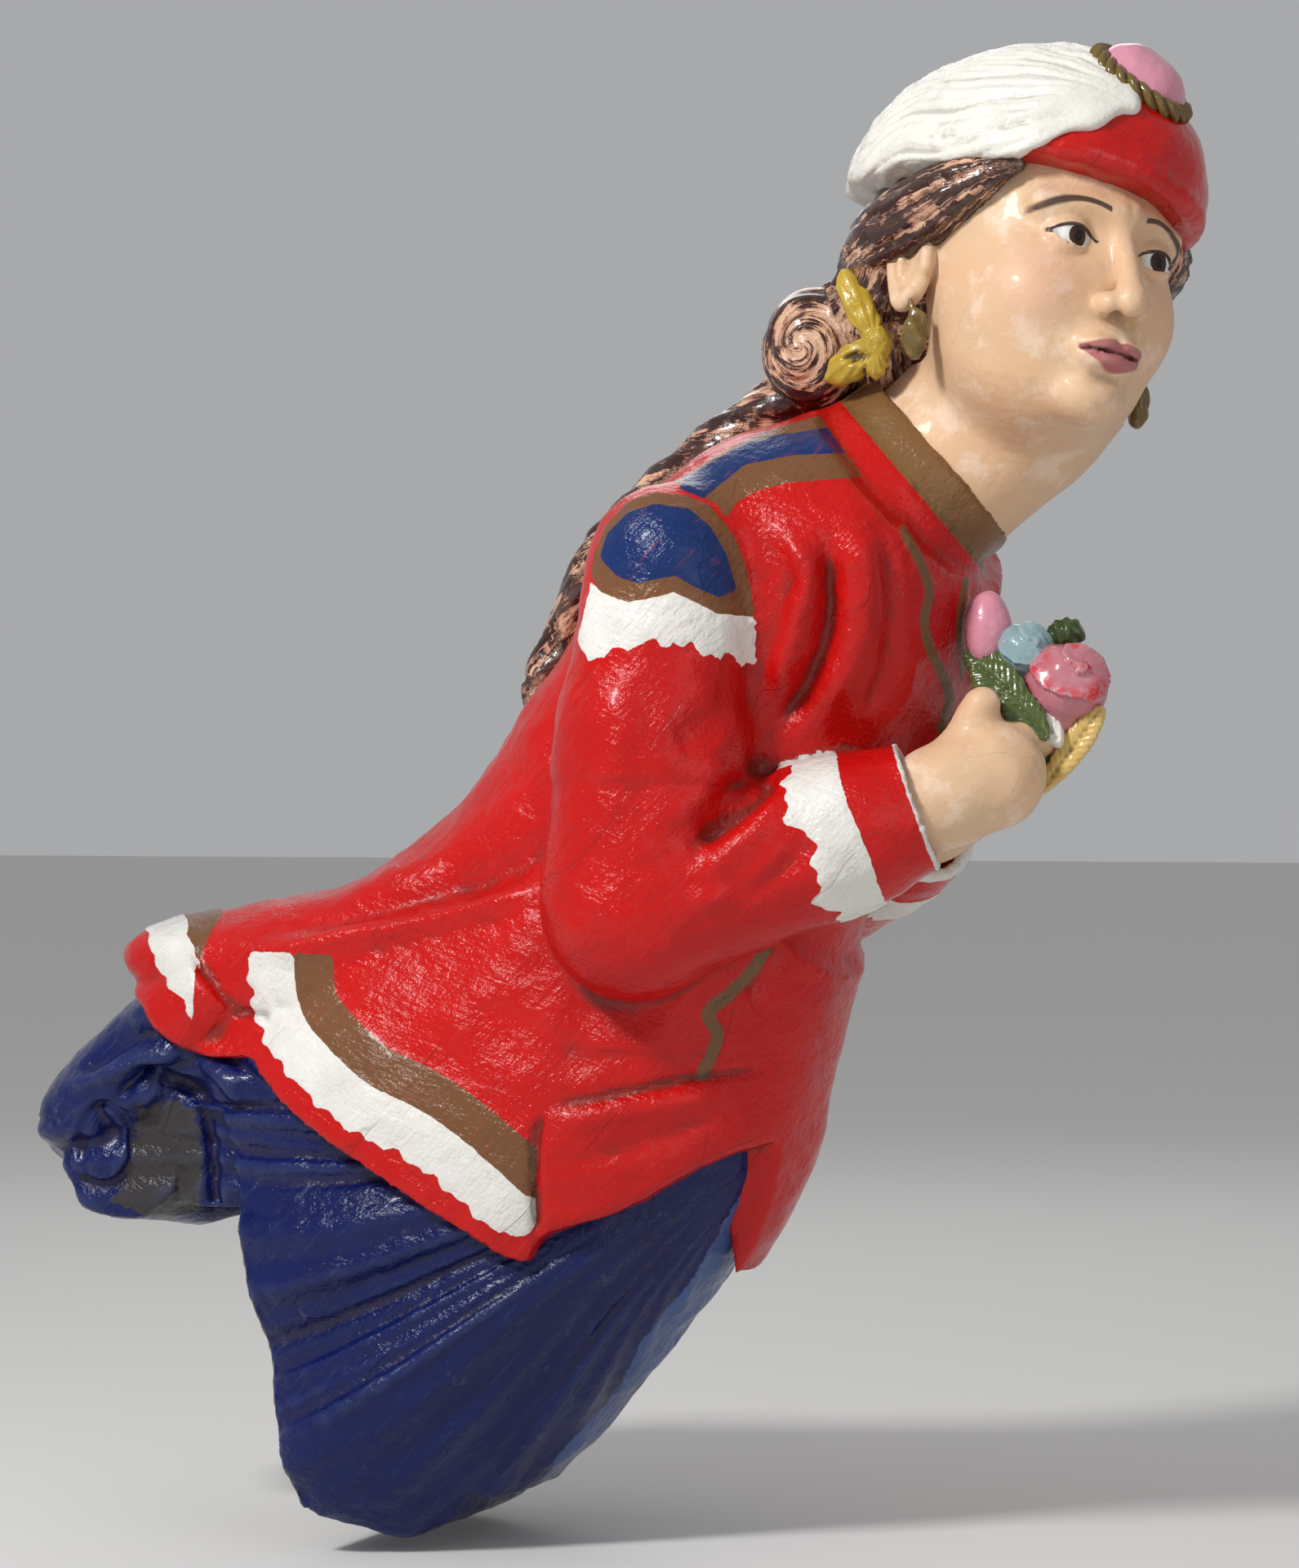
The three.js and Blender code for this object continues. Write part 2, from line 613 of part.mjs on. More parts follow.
// Squared distance to a set of planes is kept as ten sums: the symmetric 4 by 4 matrix.
function thin({ points, triangles }, goal) {
  const sums = points.map(() => new Float64Array(10));
  const touching = points.map(() => new Set());
  const alive = triangles.map(() => true);
  const normal = (a, b, c) => cross(minus(points[b], points[a]), minus(points[c], points[a]));
  triangles.forEach((triangle, index) => {
    const n = normal(...triangle);
    const area = Math.sqrt(dot(n, n)) + 1e-9;
    const [a, b, c] = n.map((value) => value / area);
    const d = -dot([a, b, c], points[triangle[0]]);
    const weight = area * (isFine(points[triangle[0]]) ? FINE_WEIGHT : 1);
    const plane = [a * a, a * b, a * c, a * d, b * b, b * c, b * d, c * c, c * d, d * d];
    triangle.forEach((vertex) => {
      touching[vertex].add(index);
      plane.forEach((value, term) => { sums[vertex][term] += value * weight; });
    });
  });
  const error = (q, [x, y, z]) => q[0] * x * x + 2 * q[1] * x * y + 2 * q[2] * x * z + 2 * q[3] * x
    + q[4] * y * y + 2 * q[5] * y * z + 2 * q[6] * y + q[7] * z * z + 2 * q[8] * z + q[9];
  const best = (a, b) => {
    const q = sums[a].map((value, term) => value + sums[b][term]);
    const spots = [between(points[a], points[b], 0.5), points[a], points[b]];
    const m = new THREE.Matrix3().set(q[0], q[1], q[2], q[1], q[4], q[5], q[2], q[5], q[7]);
    const det = m.determinant();
    if (Math.abs(det) > 1e-3 * (q[0] + q[4] + q[7]) ** 3 * 0.01) {
      const spot = new THREE.Vector3(-q[3], -q[6], -q[8]).applyMatrix3(m.invert()).toArray();
      const drift = minus(spot, spots[0]);
      const span = minus(points[a], points[b]);
      if (dot(drift, drift) < dot(span, span)) spots.push(spot);
    }
    const span = minus(points[a], points[b]);
    let choice = { cost: Infinity };
    spots.forEach((spot) => {
      const cost = error(q, spot) + 1e-4 * dot(span, span) ** 2;
      if (cost < choice.cost) choice = { cost, spot };
    });
    return choice;
  };
  const neighbours = (vertex) => {
    const found = new Set();
    touching[vertex].forEach((index) => triangles[index].forEach((other) => found.add(other)));
    found.delete(vertex);
    return found;
  };
  const heap = new Heap();
  const version = new Int32Array(points.length);
  const offer = (a, b) => {
    const { cost, spot } = best(a, b);
    heap.push({ cost, spot, a, b, stamp: version[a] + version[b] });
  };
  points.forEach((_, vertex) => {
    neighbours(vertex).forEach((other) => {
      if (vertex < other) offer(vertex, other);
    });
  });
  const turnsOver = (vertex, gone, spot) => [...touching[vertex]].some((index) => {
    const triangle = triangles[index];
    if (triangle.includes(gone)) return false;
    const before = normal(...triangle);
    const [a, b, c] = triangle.map((other) => (other === vertex ? spot : points[other]));
    const after = cross(minus(b, a), minus(c, a));
    return dot(before, after) < 0.25 * Math.sqrt(dot(before, before) * dot(after, after));
  });
  let left = triangles.length;
  while (left > goal && heap.items.length) {
    const { a, b, spot, stamp } = heap.pop();
    if (!touching[a] || !touching[b] || stamp !== version[a] + version[b]) continue;
    const ringA = neighbours(a);
    const shared = [...neighbours(b)].filter((vertex) => ringA.has(vertex));
    if (!ringA.has(b) || shared.length !== 2 || turnsOver(a, b, spot) || turnsOver(b, a, spot)) continue;
    points[a] = spot;
    touching[b].forEach((index) => {
      if (triangles[index].includes(a)) {
        alive[index] = false;
        left -= 1;
        triangles[index].forEach((vertex) => { if (vertex !== b) touching[vertex].delete(index); });
      } else {
        triangles[index] = triangles[index].map((vertex) => (vertex === b ? a : vertex));
        touching[a].add(index);
      }
    });
    sums[a].forEach((_, term) => { sums[a][term] += sums[b][term]; });
    touching[b] = null;
    version[a] += 1;
    const ring = neighbours(a);
    ring.forEach((vertex) => offer(a, vertex));
  }
  const numbers = new Map();
  const kept = triangles.filter((_, index) => alive[index]);
  kept.flat().forEach((vertex) => { if (!numbers.has(vertex)) numbers.set(vertex, numbers.size); });
  return {
    points: [...numbers.keys()].map((vertex) => points[vertex]),
    triangles: kept.map((triangle) => triangle.map((vertex) => numbers.get(vertex))),
  };
}

// ---- sawing the seat and handing the mesh over ------------------------------------------------

const wasm = await Module();
wasm.setup();

const solidOf = (vertProperties, triVerts) => new wasm.Manifold(
  new wasm.Mesh({ numProp: 3, vertProperties, triVerts }),
);

function boxSolid(size, matrix) {
  const corners = [];
  for (let bit = 0; bit < 8; bit += 1) {
    const corner = new THREE.Vector3(bit & 1, (bit >> 1) & 1, bit >> 2).subScalar(0.5).multiply(size);
    corners.push(...corner.applyMatrix4(matrix).toArray());
  }
  const sides = [[0, 2, 3, 1], [4, 5, 7, 6], [0, 1, 5, 4], [2, 6, 7, 3], [0, 4, 6, 2], [1, 3, 7, 5]];
  const faces = sides.flatMap(([a, b, c, d]) => [a, b, c, a, c, d]);
  return solidOf(new Float32Array(corners), new Uint32Array(faces));
}

const STEM = new THREE.Vector3(300, 600, 500);   // block of the stem that the seat meets
const seatTurn = new THREE.Matrix4().makeRotationY(-SEAT_LEAN);
const stemMatrix = seatTurn.clone().multiply(
  new THREE.Matrix4().makeTranslation(-STEM.x / 2, 0, SEAT_TOP - STEM.z / 2),
);

const carved = thin(zeroSurface(), TRIANGLES);
const whole = solidOf(new Float32Array(carved.points.flat()), new Uint32Array(carved.triangles.flat()));
const sawn = whole.subtract(boxSolid(STEM, stemMatrix));
const pieces = sawn.decompose().sort((a, b) => b.volume() - a.volume());
const result = pieces[0].getMesh();

const geometry = new THREE.BufferGeometry();
geometry.setAttribute('position', new THREE.BufferAttribute(result.vertProperties, 3));
geometry.setIndex(new THREE.BufferAttribute(result.triVerts, 1));
geometry.computeVertexNormals();

const figurehead = new THREE.Mesh(
  geometry,
  new THREE.MeshStandardMaterial({ color: 0xb3150f, roughness: 0.35, metalness: 0 }),
);
figurehead.name = 'figurehead';

const work = new THREE.Group();
work.add(figurehead);

export default work;
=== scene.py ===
import functools
import math

import bpy
import numpy as np
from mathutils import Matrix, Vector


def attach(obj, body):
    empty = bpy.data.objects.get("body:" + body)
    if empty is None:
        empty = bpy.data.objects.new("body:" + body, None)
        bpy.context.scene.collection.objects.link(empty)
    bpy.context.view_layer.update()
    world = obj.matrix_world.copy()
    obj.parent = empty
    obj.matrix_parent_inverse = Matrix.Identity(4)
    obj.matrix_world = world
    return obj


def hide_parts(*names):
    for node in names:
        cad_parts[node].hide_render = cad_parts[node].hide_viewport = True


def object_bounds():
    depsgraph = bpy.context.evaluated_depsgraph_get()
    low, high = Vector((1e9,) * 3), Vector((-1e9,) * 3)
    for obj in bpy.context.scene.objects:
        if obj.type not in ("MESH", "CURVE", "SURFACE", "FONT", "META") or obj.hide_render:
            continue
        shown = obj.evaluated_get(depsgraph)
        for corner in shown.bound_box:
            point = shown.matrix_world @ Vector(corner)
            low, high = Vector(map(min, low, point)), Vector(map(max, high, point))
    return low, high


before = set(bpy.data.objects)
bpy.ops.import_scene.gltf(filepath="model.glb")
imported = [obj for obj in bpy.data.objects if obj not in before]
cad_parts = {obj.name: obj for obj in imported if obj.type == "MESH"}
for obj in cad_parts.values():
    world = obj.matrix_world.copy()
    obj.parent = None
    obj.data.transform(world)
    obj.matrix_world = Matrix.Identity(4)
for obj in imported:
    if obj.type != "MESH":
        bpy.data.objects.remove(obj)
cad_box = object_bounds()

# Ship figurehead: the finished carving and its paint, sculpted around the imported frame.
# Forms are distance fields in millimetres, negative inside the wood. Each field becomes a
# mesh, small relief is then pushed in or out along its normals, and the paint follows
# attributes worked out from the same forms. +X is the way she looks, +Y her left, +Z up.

import openvdb
from mathutils import Matrix, Vector

MM = 0.001

# ---- driving dimensions, as in the frame -----------------------------------------------

TORSO_LEAN = math.radians(26)
TORSO_MIDDLE = (274, 0, 381)
JACKET_LEAN = math.radians(45)
SEAT_LEAN = math.radians(13.65)
SEAT_TOP = 112
SKIRT_STEP = 180
NECK_LEAN = math.radians(42)
COLLAR = np.array([457.0, 0.0, 644.0])
COLLAR_LEAN = math.radians(48)
COLLAR_TILT = math.radians(16)

HEAD_MIDDLE = np.array([533.0, 0.0, 784.0])
HEAD_SIZE = 1.08
HEAD_TURN = math.radians(-38)
HEAD_NOD = math.radians(-4)
HEAD_TILT = math.radians(12)

SHOULDER = np.array([316.0, 148.0, 572.0])
ELBOW = np.array([292.0, 158.0, 334.0])
WRISTS = {-1: np.array([484.0, -108.0, 404.0]), 1: np.array([438.0, 56.0, 394.0])}   # right, left
RIGHT_HAND = np.array([548.0, -72.0, 434.0])
LEFT_HAND = np.array([490.0, 14.0, 424.0])

BUN = np.array([378.0, 0.0, 733.0])
ROLL_MIDDLE = np.array([-106.0, 0.0, 136.0])
ROLL_END = np.array([-142.0, 84.0, 143.0])
ROLL_RADIUS = 47

CAMERA_TURN = math.radians(20)
CAMERA_PLACE = (1.440, -3.280, 0.4197)
FRAME_HEIGHT_AT = (1.152, 3.5)   # metres of height that fill the picture, at this distance

FINE = 1.0

# ---- field shapes ------------------------------------------------------------------------


def profile(rows):
    """A smooth curve through rows of [place, value, ...], held still past both ends."""
    rows = np.array(rows, float)
    place, values = rows[:, 0], rows[:, 1:]
    ahead = np.minimum(np.arange(len(rows)) + 1, len(rows) - 1)
    behind = np.maximum(np.arange(len(rows)) - 1, 0)
    slope = (values[ahead] - values[behind]) / (place[ahead] - place[behind])[:, None]
    samples = np.linspace(place[0], place[-1], 97)
    row = np.clip(np.searchsorted(place, samples, side="right") - 1, 0, len(rows) - 2)
    span = (place[row + 1] - place[row])[:, None]
    t = (samples - place[row])[:, None] / span
    rise = t * t * (3 - 2 * t)
    leave = t * (1 - t) ** 2 * span * slope[row]
    arrive = t * t * (t - 1) * span * slope[row + 1]
    table = values[row] + (values[row + 1] - values[row]) * rise + leave + arrive
    return lambda at: [np.interp(at, samples, column).astype(np.float32) for column in table.T]


def oval(u, v, ru, rv, power=2.0):
    """Distance to an oval; power 2 is an ellipse and more is squarer."""
    a, b = np.abs(u) / ru, np.abs(v) / rv
    if power == 2.0:
        rho = np.sqrt(a * a + b * b) + 1e-6
        return (rho - 1) / np.sqrt((a / rho / ru) ** 2 + (b / rho / rv) ** 2)
    rho = (a ** power + b ** power) ** (1 / power) + 1e-6
    slope_u = (a / rho) ** (power - 1) / ru
    slope_v = (b / rho) ** (power - 1) / rv
    return (rho - 1) / np.sqrt(slope_u * slope_u + slope_v * slope_v)


def ellipsoid(middle, size):
    def shape(x, y, z):
        parts = [(p - m) / s for p, m, s in zip((x, y, z), middle, size)]
        reach = np.sqrt(sum(p * p for p in parts)) + 1e-6
        slope = np.sqrt(sum((p / s) ** 2 for p, s in zip(parts, size))) / reach + 1e-9
        return (reach - 1) / slope
    return shape


def limb(a, b, ra, rb, flat=False):
    """A straight limb of radius ra at a and rb at b, with round or flat ends."""
    a, b = np.array(a, float), np.array(b, float)
    run = b - a
    length = float(np.sqrt(run @ run))

    def shape(x, y, z):
        p = [value - start for value, start in zip((x, y, z), a)]
        t = sum(value * step for value, step in zip(p, run)) / length ** 2
        held = np.clip(t, 0, 1)
        use = t if flat else held
        away = np.sqrt(sum((value - use * step) ** 2 for value, step in zip(p, run)))
        side = away - (ra + (rb - ra) * held)
        return np.maximum(side, np.abs(t - 0.5) * length - length / 2) if flat else side
    return shape


def loft(middle, lean, rows, power=2.0):
    """Parallel sections square to a leaning axis; rows of [height, back, front, half width]."""
    sin, cos = math.sin(lean), math.cos(lean)
    section = profile(rows)
    low, high = rows[0][0], rows[-1][0]

    def shape(x, y, z):
        dx, dz = x - middle[0], z - middle[2]
        height = dx * sin + dz * cos
        back, front, half = section(height)
        forward = dx * cos - dz * sin - (back + front) / 2
        side = oval(forward, y - middle[1], (front - back) / 2, half, power)
        return np.maximum(side, np.maximum(low - height, height - high))
    return shape


class Route:
    """A smooth route through rows of [x, y, z, radius]."""

    def __init__(self, rows, steps=4):
        rows = np.array(rows, float)
        fine = np.linspace(0, len(rows) - 1, (len(rows) - 1) * steps + 1)
        curve = profile(np.column_stack([np.arange(len(rows)), rows]))
        self.rows = np.stack(curve(fine), axis=1).astype(float)
        spans = np.linalg.norm(np.diff(self.rows[:, :3], axis=0), axis=1)
        self.along = np.concatenate([[0.0], np.cumsum(spans)])

    def shape(self, x, y, z):
        best = None
        for a, b in zip(self.rows[:-1], self.rows[1:]):
            piece = limb(a[:3], b[:3], a[3], b[3])(x, y, z)
            best = piece if best is None else np.minimum(best, piece)
        return best

    def box(self, margin):
        reach = self.rows[:, 3:] + margin
        return (self.rows[:, :3] - reach).min(axis=0), (self.rows[:, :3] + reach).max(axis=0)

    def follow(self, points):
        """For each point: distance, place along the route in mm, and angle round it."""
        best = np.full(len(points), 1e9)
        along = np.zeros(len(points))
        angle = np.zeros(len(points))
        for index, (a, b) in enumerate(zip(self.rows[:-1], self.rows[1:])):
            run = b[:3] - a[:3]
            length = math.sqrt(run @ run)
            t = np.clip((points - a[:3]) @ run / length ** 2, 0, 1)
            off = points - a[:3] - t[:, None] * run
            distance = np.linalg.norm(off, axis=1) - (a[3] + (b[3] - a[3]) * t)
            side = np.cross(run, (0.0, 0.0, 1.0))
            side /= np.linalg.norm(side)
            top = np.cross(side, run / length)
            near = distance < best
            best[near] = distance[near]
            along[near] = self.along[index] + t[near] * length
            angle[near] = np.arctan2(off[near] @ top, off[near] @ side)
        return best, along, angle


def melt(a, b, radius):
    """The union of two forms, melted together over a radius."""
    if radius <= 0:
        return np.minimum(a, b)
    share = np.maximum(radius - np.abs(a - b), 0) / radius
    return np.minimum(a, b) - share * share * radius / 4


def within(a, b, radius):
    """The part that two forms share, with a rounded edge."""
    return -melt(-a, -b, radius)


def paired(shape):
    return lambda x, y, z: shape(x, np.abs(y), z)


def least(*values):
    return functools.reduce(np.minimum, values)


def most(*values):
    return functools.reduce(np.maximum, values)


def offsets(place, start, ways):
    """How far a place lies from a start, along each of some directions."""
    d = [value - origin for value, origin in zip(place, start)]
    return [sum(part * step for part, step in zip(d, way)) for way in ways]


def facing(run, face):
    """Unit directions along a run, across it, and out of it on the side that face looks to."""
    run = run / np.linalg.norm(run)
    face = face - run * (face @ run)
    face = face / np.linalg.norm(face)
    return run, np.cross(run, face), face


def step_up(value, low, high):
    t = np.clip((value - low) / (high - low), 0, 1)
    return t * t * (3 - 2 * t)


FAR = 60.0   # held outside every form
EVERYWHERE = ((-999,) * 3, (999,) * 3)


class Field:
    """A block of wood to carve: samples of the distance on a regular grid."""

    def __init__(self, low, high, step):
        self.step = step * FINE
        self.low = np.array(low, float)
        self.axes = [np.arange(a, b, self.step, dtype=np.float32) for a, b in zip(low, high)]
        self.value = np.full([len(axis) for axis in self.axes], FAR, np.float32)

    def window(self, low, high):
        spans = [np.searchsorted(axis, (a, b)) for axis, a, b in zip(self.axes, low, high)]
        cut = tuple(slice(first, last) for first, last in spans)
        x, y, z = (axis[part] for axis, part in zip(self.axes, cut))
        return cut, x[:, None, None], y[None, :, None], z[None, None, :]

    def join(self, shape, low=EVERYWHERE[0], high=EVERYWHERE[1], blend=0.0):
        cut, x, y, z = self.window(low, high)
        self.value[cut] = melt(self.value[cut], shape(x, y, z), blend)

    def carve(self, shape, low=EVERYWHERE[0], high=EVERYWHERE[1], blend=0.0):
        cut, x, y, z = self.window(low, high)
        self.value[cut] = -melt(-self.value[cut], shape(x, y, z), blend)

    def join_route(self, route, blend=0.0):
        low, high = route.box(blend + 2 * self.step)
        self.join(route.shape, low, high, blend)

    def skin(self):
        """The zero surface as points and four-sided faces that look outwards."""
        for axis in range(3):
            np.moveaxis(self.value, axis, 0)[[0, -1]] = FAR
        grid = openvdb.FloatGrid(background=3.0)
        grid.copyFromArray(np.clip(self.value / self.step, -3, 3))
        points, quads = grid.convertToQuads(isovalue=0.0)
        points = points.astype(float) * self.step + self.low
        quads = quads.astype(np.int64)
        a, b, c, d = (points[quads[:, corner]] for corner in range(4))
        if (np.cross(c - a, d - b) * (a + c)).sum() < 0:
            quads = quads[:, ::-1]
        return points, quads


def gather(columns, quads, count):
    """Adds up, at each point, what the faces that touch it hold."""
    total = np.zeros((count, columns.shape[1]))
    for corner in range(4):
        for column in range(columns.shape[1]):
            total[:, column] += np.bincount(quads[:, corner], columns[:, column], count)
    return total


def spread(values, quads, count):
    """Each point's mean over the faces that touch it."""
    columns = values[quads].mean(axis=1).reshape(len(quads), -1)
    times = np.bincount(quads.ravel(), minlength=count)
    total = gather(columns, quads, count)
    return (total / np.maximum(times, 1)[:, None]).reshape((count,) + values.shape[1:])


def normals_of(points, quads):
    a, b, c, d = (points[quads[:, corner]] for corner in range(4))
    total = gather(np.cross(c - a, d - b), quads, len(points))
    return total / np.maximum(np.linalg.norm(total, axis=1), 1e-9)[:, None]


def ripple(points, size, seed, waves=14):
    """Smooth noise of about this size in mm, from -1 to 1."""
    rng = np.random.default_rng(seed)
    total = np.zeros(len(points))
    for _ in range(waves):
        way = rng.normal(size=3)
        way *= 2 * math.pi / size / np.linalg.norm(way) * rng.uniform(0.6, 1.4)
        total += np.sin(points @ way + rng.uniform(0, 2 * math.pi))
    return total / math.sqrt(waves) / 1.4


def side_distance(points, route):
    """Distance in side view from a route of [x, z] points, with the place along it."""
    route = np.array(route, float)
    flat = points[:, [0, 2]]
    best = np.full(len(points), 1e9)
    along = np.zeros(len(points))
    start = 0.0
    for a, b in zip(route[:-1], route[1:]):
        run = b - a
        length = math.hypot(*run)
        t = np.clip((flat - a) @ run / length ** 2, 0, 1)
        distance = np.linalg.norm(flat - a - t[:, None] * run, axis=1)
        near = distance < best
        best[near] = distance[near]
        along[near] = start + t[near] * length
        start += length
    return best, along


VIEWER = np.array(CAMERA_PLACE) / MM


def laid_out(points):
    """Throws points onto the middle plane, away from a viewer at the near front quarter.

    Trims and folds are drawn in this view; the left side of the body mirrors the right.
    """
    x, y, z = points[:, 0], -np.abs(points[:, 1]), points[:, 2]
    t = VIEWER[1] / (VIEWER[1] - y)
    flat = np.zeros_like(points)
    flat[:, 0] = VIEWER[0] + (x - VIEWER[0]) * t
    flat[:, 2] = VIEWER[2] + (z - VIEWER[2]) * t
    return flat


def curve(route, steps=5):
    """Smooths a side-view route."""
    last = len(route) - 1
    rows = np.column_stack([np.arange(last + 1), np.array(route, float)])
    return np.stack(profile(rows)(np.linspace(0, last, last * steps + 1)), axis=1)


def inside(points, outline):
    """Distance inside a closed side-view outline, negative outside it."""
    loop = np.array(list(outline) + [outline[0]], float)
    distance, _ = side_distance(points, loop)
    x, z = points[:, 0], points[:, 2]
    odd = np.zeros(len(points), bool)
    for (ax, az), (bx, bz) in zip(loop[:-1], loop[1:]):
        if az != bz:
            crosses = (az > z) != (bz > z)
            odd ^= crosses & (x < ax + (z - az) / (bz - az) * (bx - ax))
    return np.where(odd, distance, -distance)


def stroke(points, route, width, height):
    """A rounded ridge, or a groove where height is negative, along a side-view route."""
    distance, along = side_distance(points, curve(route))
    total = along.max() + 1e-6
    fade = step_up(along / total, 0, 0.18) * (1 - step_up(along / total, 0.82, 1))
    return height * np.exp(-(distance / width) ** 2) * (0.25 + 0.75 * fade)


scene = bpy.context.scene
pieces = []


def add_object(name, data):
    thing = bpy.data.objects.new(name, data)
    scene.collection.objects.link(thing)
    return thing


def creases(flat, folds):
    """The sum of many strokes, each [route, width, height]."""
    return sum(stroke(flat, *fold) for fold in folds)


def make_mesh(name, points, quads, paints, material):
    mesh = bpy.data.meshes.new(name)
    mesh.vertices.add(len(points))
    mesh.vertices.foreach_set("co", (points * MM).astype(np.float32).ravel())
    mesh.loops.add(quads.size)
    mesh.loops.foreach_set("vertex_index", quads.astype(np.int32).ravel())
    mesh.polygons.add(len(quads))
    mesh.polygons.foreach_set("loop_start", np.arange(0, quads.size, 4, dtype=np.int32))
    mesh.update(calc_edges=True)
    mesh.polygons.foreach_set("use_smooth", np.ones(len(quads), bool))
    for label, values in paints.items():
        layer = mesh.attributes.new(label, "FLOAT", "POINT")
        layer.data.foreach_set("value", values.astype(np.float32))
    mesh.materials.append(material)
    return add_object(name, mesh)


def sculpt(name, field, material, relief=None, paint=None):
    """Turns a field into a finished piece with its relief and its paint attributes."""
    points, quads = field.skin()
    normals = normals_of(points, quads)
    if relief:
        points = points + normals * relief(points, normals)[:, None]
        normals = normals_of(points, quads)
    paints = paint(points, normals) if paint else {}
    middle = spread(points, quads, len(points))
    hollow = ((middle - points) * normals).sum(axis=1) / field.step
    for _ in range(2):
        hollow = spread(hollow, quads, len(points))
    paints["hollow"] = hollow
    pieces.append(make_mesh(name, points, quads, paints, material))
    print(f"{name}: {2 * len(quads)} triangles")


# ---- the head's own directions -----------------------------------------------------------

turn, nod, tilt = (
    Matrix.Rotation(angle, 3, axis) for angle, axis in ((HEAD_TURN, "Z"), (HEAD_NOD, "Y"), (-HEAD_TILT, "X"))
)
head_turn = np.array(turn @ nod @ tilt)


def on_head(shape):
    """A form given as forward, left and up of the head's middle, placed in the work."""
    def placed(x, y, z):
        d = [(value - middle) / HEAD_SIZE for value, middle in zip((x, y, z), HEAD_MIDDLE)]
        local = (sum(part * head_turn[axis, way] for axis, part in enumerate(d)) for way in range(3))
        return shape(*local) * HEAD_SIZE
    return placed


def to_head(points):
    return (points - HEAD_MIDDLE) @ head_turn / HEAD_SIZE


def from_head(points):
    return np.asarray(points, float) @ head_turn.T * HEAD_SIZE + HEAD_MIDDLE


def head_route(rows, steps=4):
    rows = np.array(rows, float)
    return Route(np.column_stack([from_head(rows[:, :3]), rows[:, 3] * HEAD_SIZE]), steps)


# ---- shader helpers ----------------------------------------------------------------------


def put(tree, kind, settings=None, **inputs):
    """Adds a node; inputs are named, or i0, i1 for their number, and take values or sockets."""
    node = tree.nodes.new(kind)
    for key, value in (settings or {}).items():
        setattr(node, key, value)
    for key, value in inputs.items():
        numbered = key[0] == "i" and key[1:].isdigit()
        socket = node.inputs[int(key[1:]) if numbered else key.replace("_", " ")]
        if isinstance(value, bpy.types.NodeSocket):
            tree.links.new(value, socket)
        else:
            socket.default_value = value
    return node


def maths(tree, operation, a, b=0.0, c=0.0, clamp=False):
    settings = {"operation": operation, "use_clamp": clamp}
    return put(tree, "ShaderNodeMath", settings, i0=a, i1=b, i2=c).outputs[0]


def blend_colour(tree, factor, a, b, mode="MIX"):
    settings = {"data_type": "RGBA", "blend_type": mode}
    return put(tree, "ShaderNodeMix", settings, i0=factor, i6=a, i7=b).outputs[2]


def rescale(tree, value, low, high, to_low=0.0, to_high=1.0):
    settings = {"interpolation_type": "SMOOTHSTEP"}
    node = put(tree, "ShaderNodeMapRange", settings, i0=value, i1=low, i2=high, i3=to_low, i4=to_high)
    return node.outputs[0]


def noise(tree, vector, scale, detail=3.0, roughness=0.5, distortion=0.0):
    node = put(tree, "ShaderNodeTexNoise", None, Vector=vector, Scale=scale, Detail=detail,
               Roughness=roughness, Distortion=distortion)
    return node.outputs["Fac"]


def stretched(tree, vector, size, turn=(0.0, 0.0, 0.0)):
    """Turns first, then measures each direction in its own size in metres."""
    settings = {"vector_type": "TEXTURE"}
    return put(tree, "ShaderNodeMapping", settings, Vector=vector, Rotation=turn, Scale=size).outputs[0]


def joined(tree, **parts):
    """One vector from its X, Y and Z."""
    return put(tree, "ShaderNodeCombineXYZ", None, **{"Z": 0.0, **parts}).outputs[0]


def attribute(tree, name):
    return put(tree, "ShaderNodeAttribute", {"attribute_name": name}).outputs["Fac"]


def object_place(tree):
    return put(tree, "ShaderNodeTexCoord").outputs["Object"]


def grey(value):
    return (value, value, value, 1.0)


def new_group(name, inputs, outputs):
    tree = bpy.data.node_groups.new(name, "ShaderNodeTree")
    for label, kind, value in inputs:
        socket = tree.interface.new_socket(label, in_out="INPUT", socket_type=kind)
        if value is not None:
            socket.default_value = value
    for label, kind in outputs:
        tree.interface.new_socket(label, in_out="OUTPUT", socket_type=kind)
    return tree, tree.nodes.new("NodeGroupInput").outputs, tree.nodes.new("NodeGroupOutput").inputs


COLOUR, VALUE = "NodeSocketColor", "NodeSocketFloat"


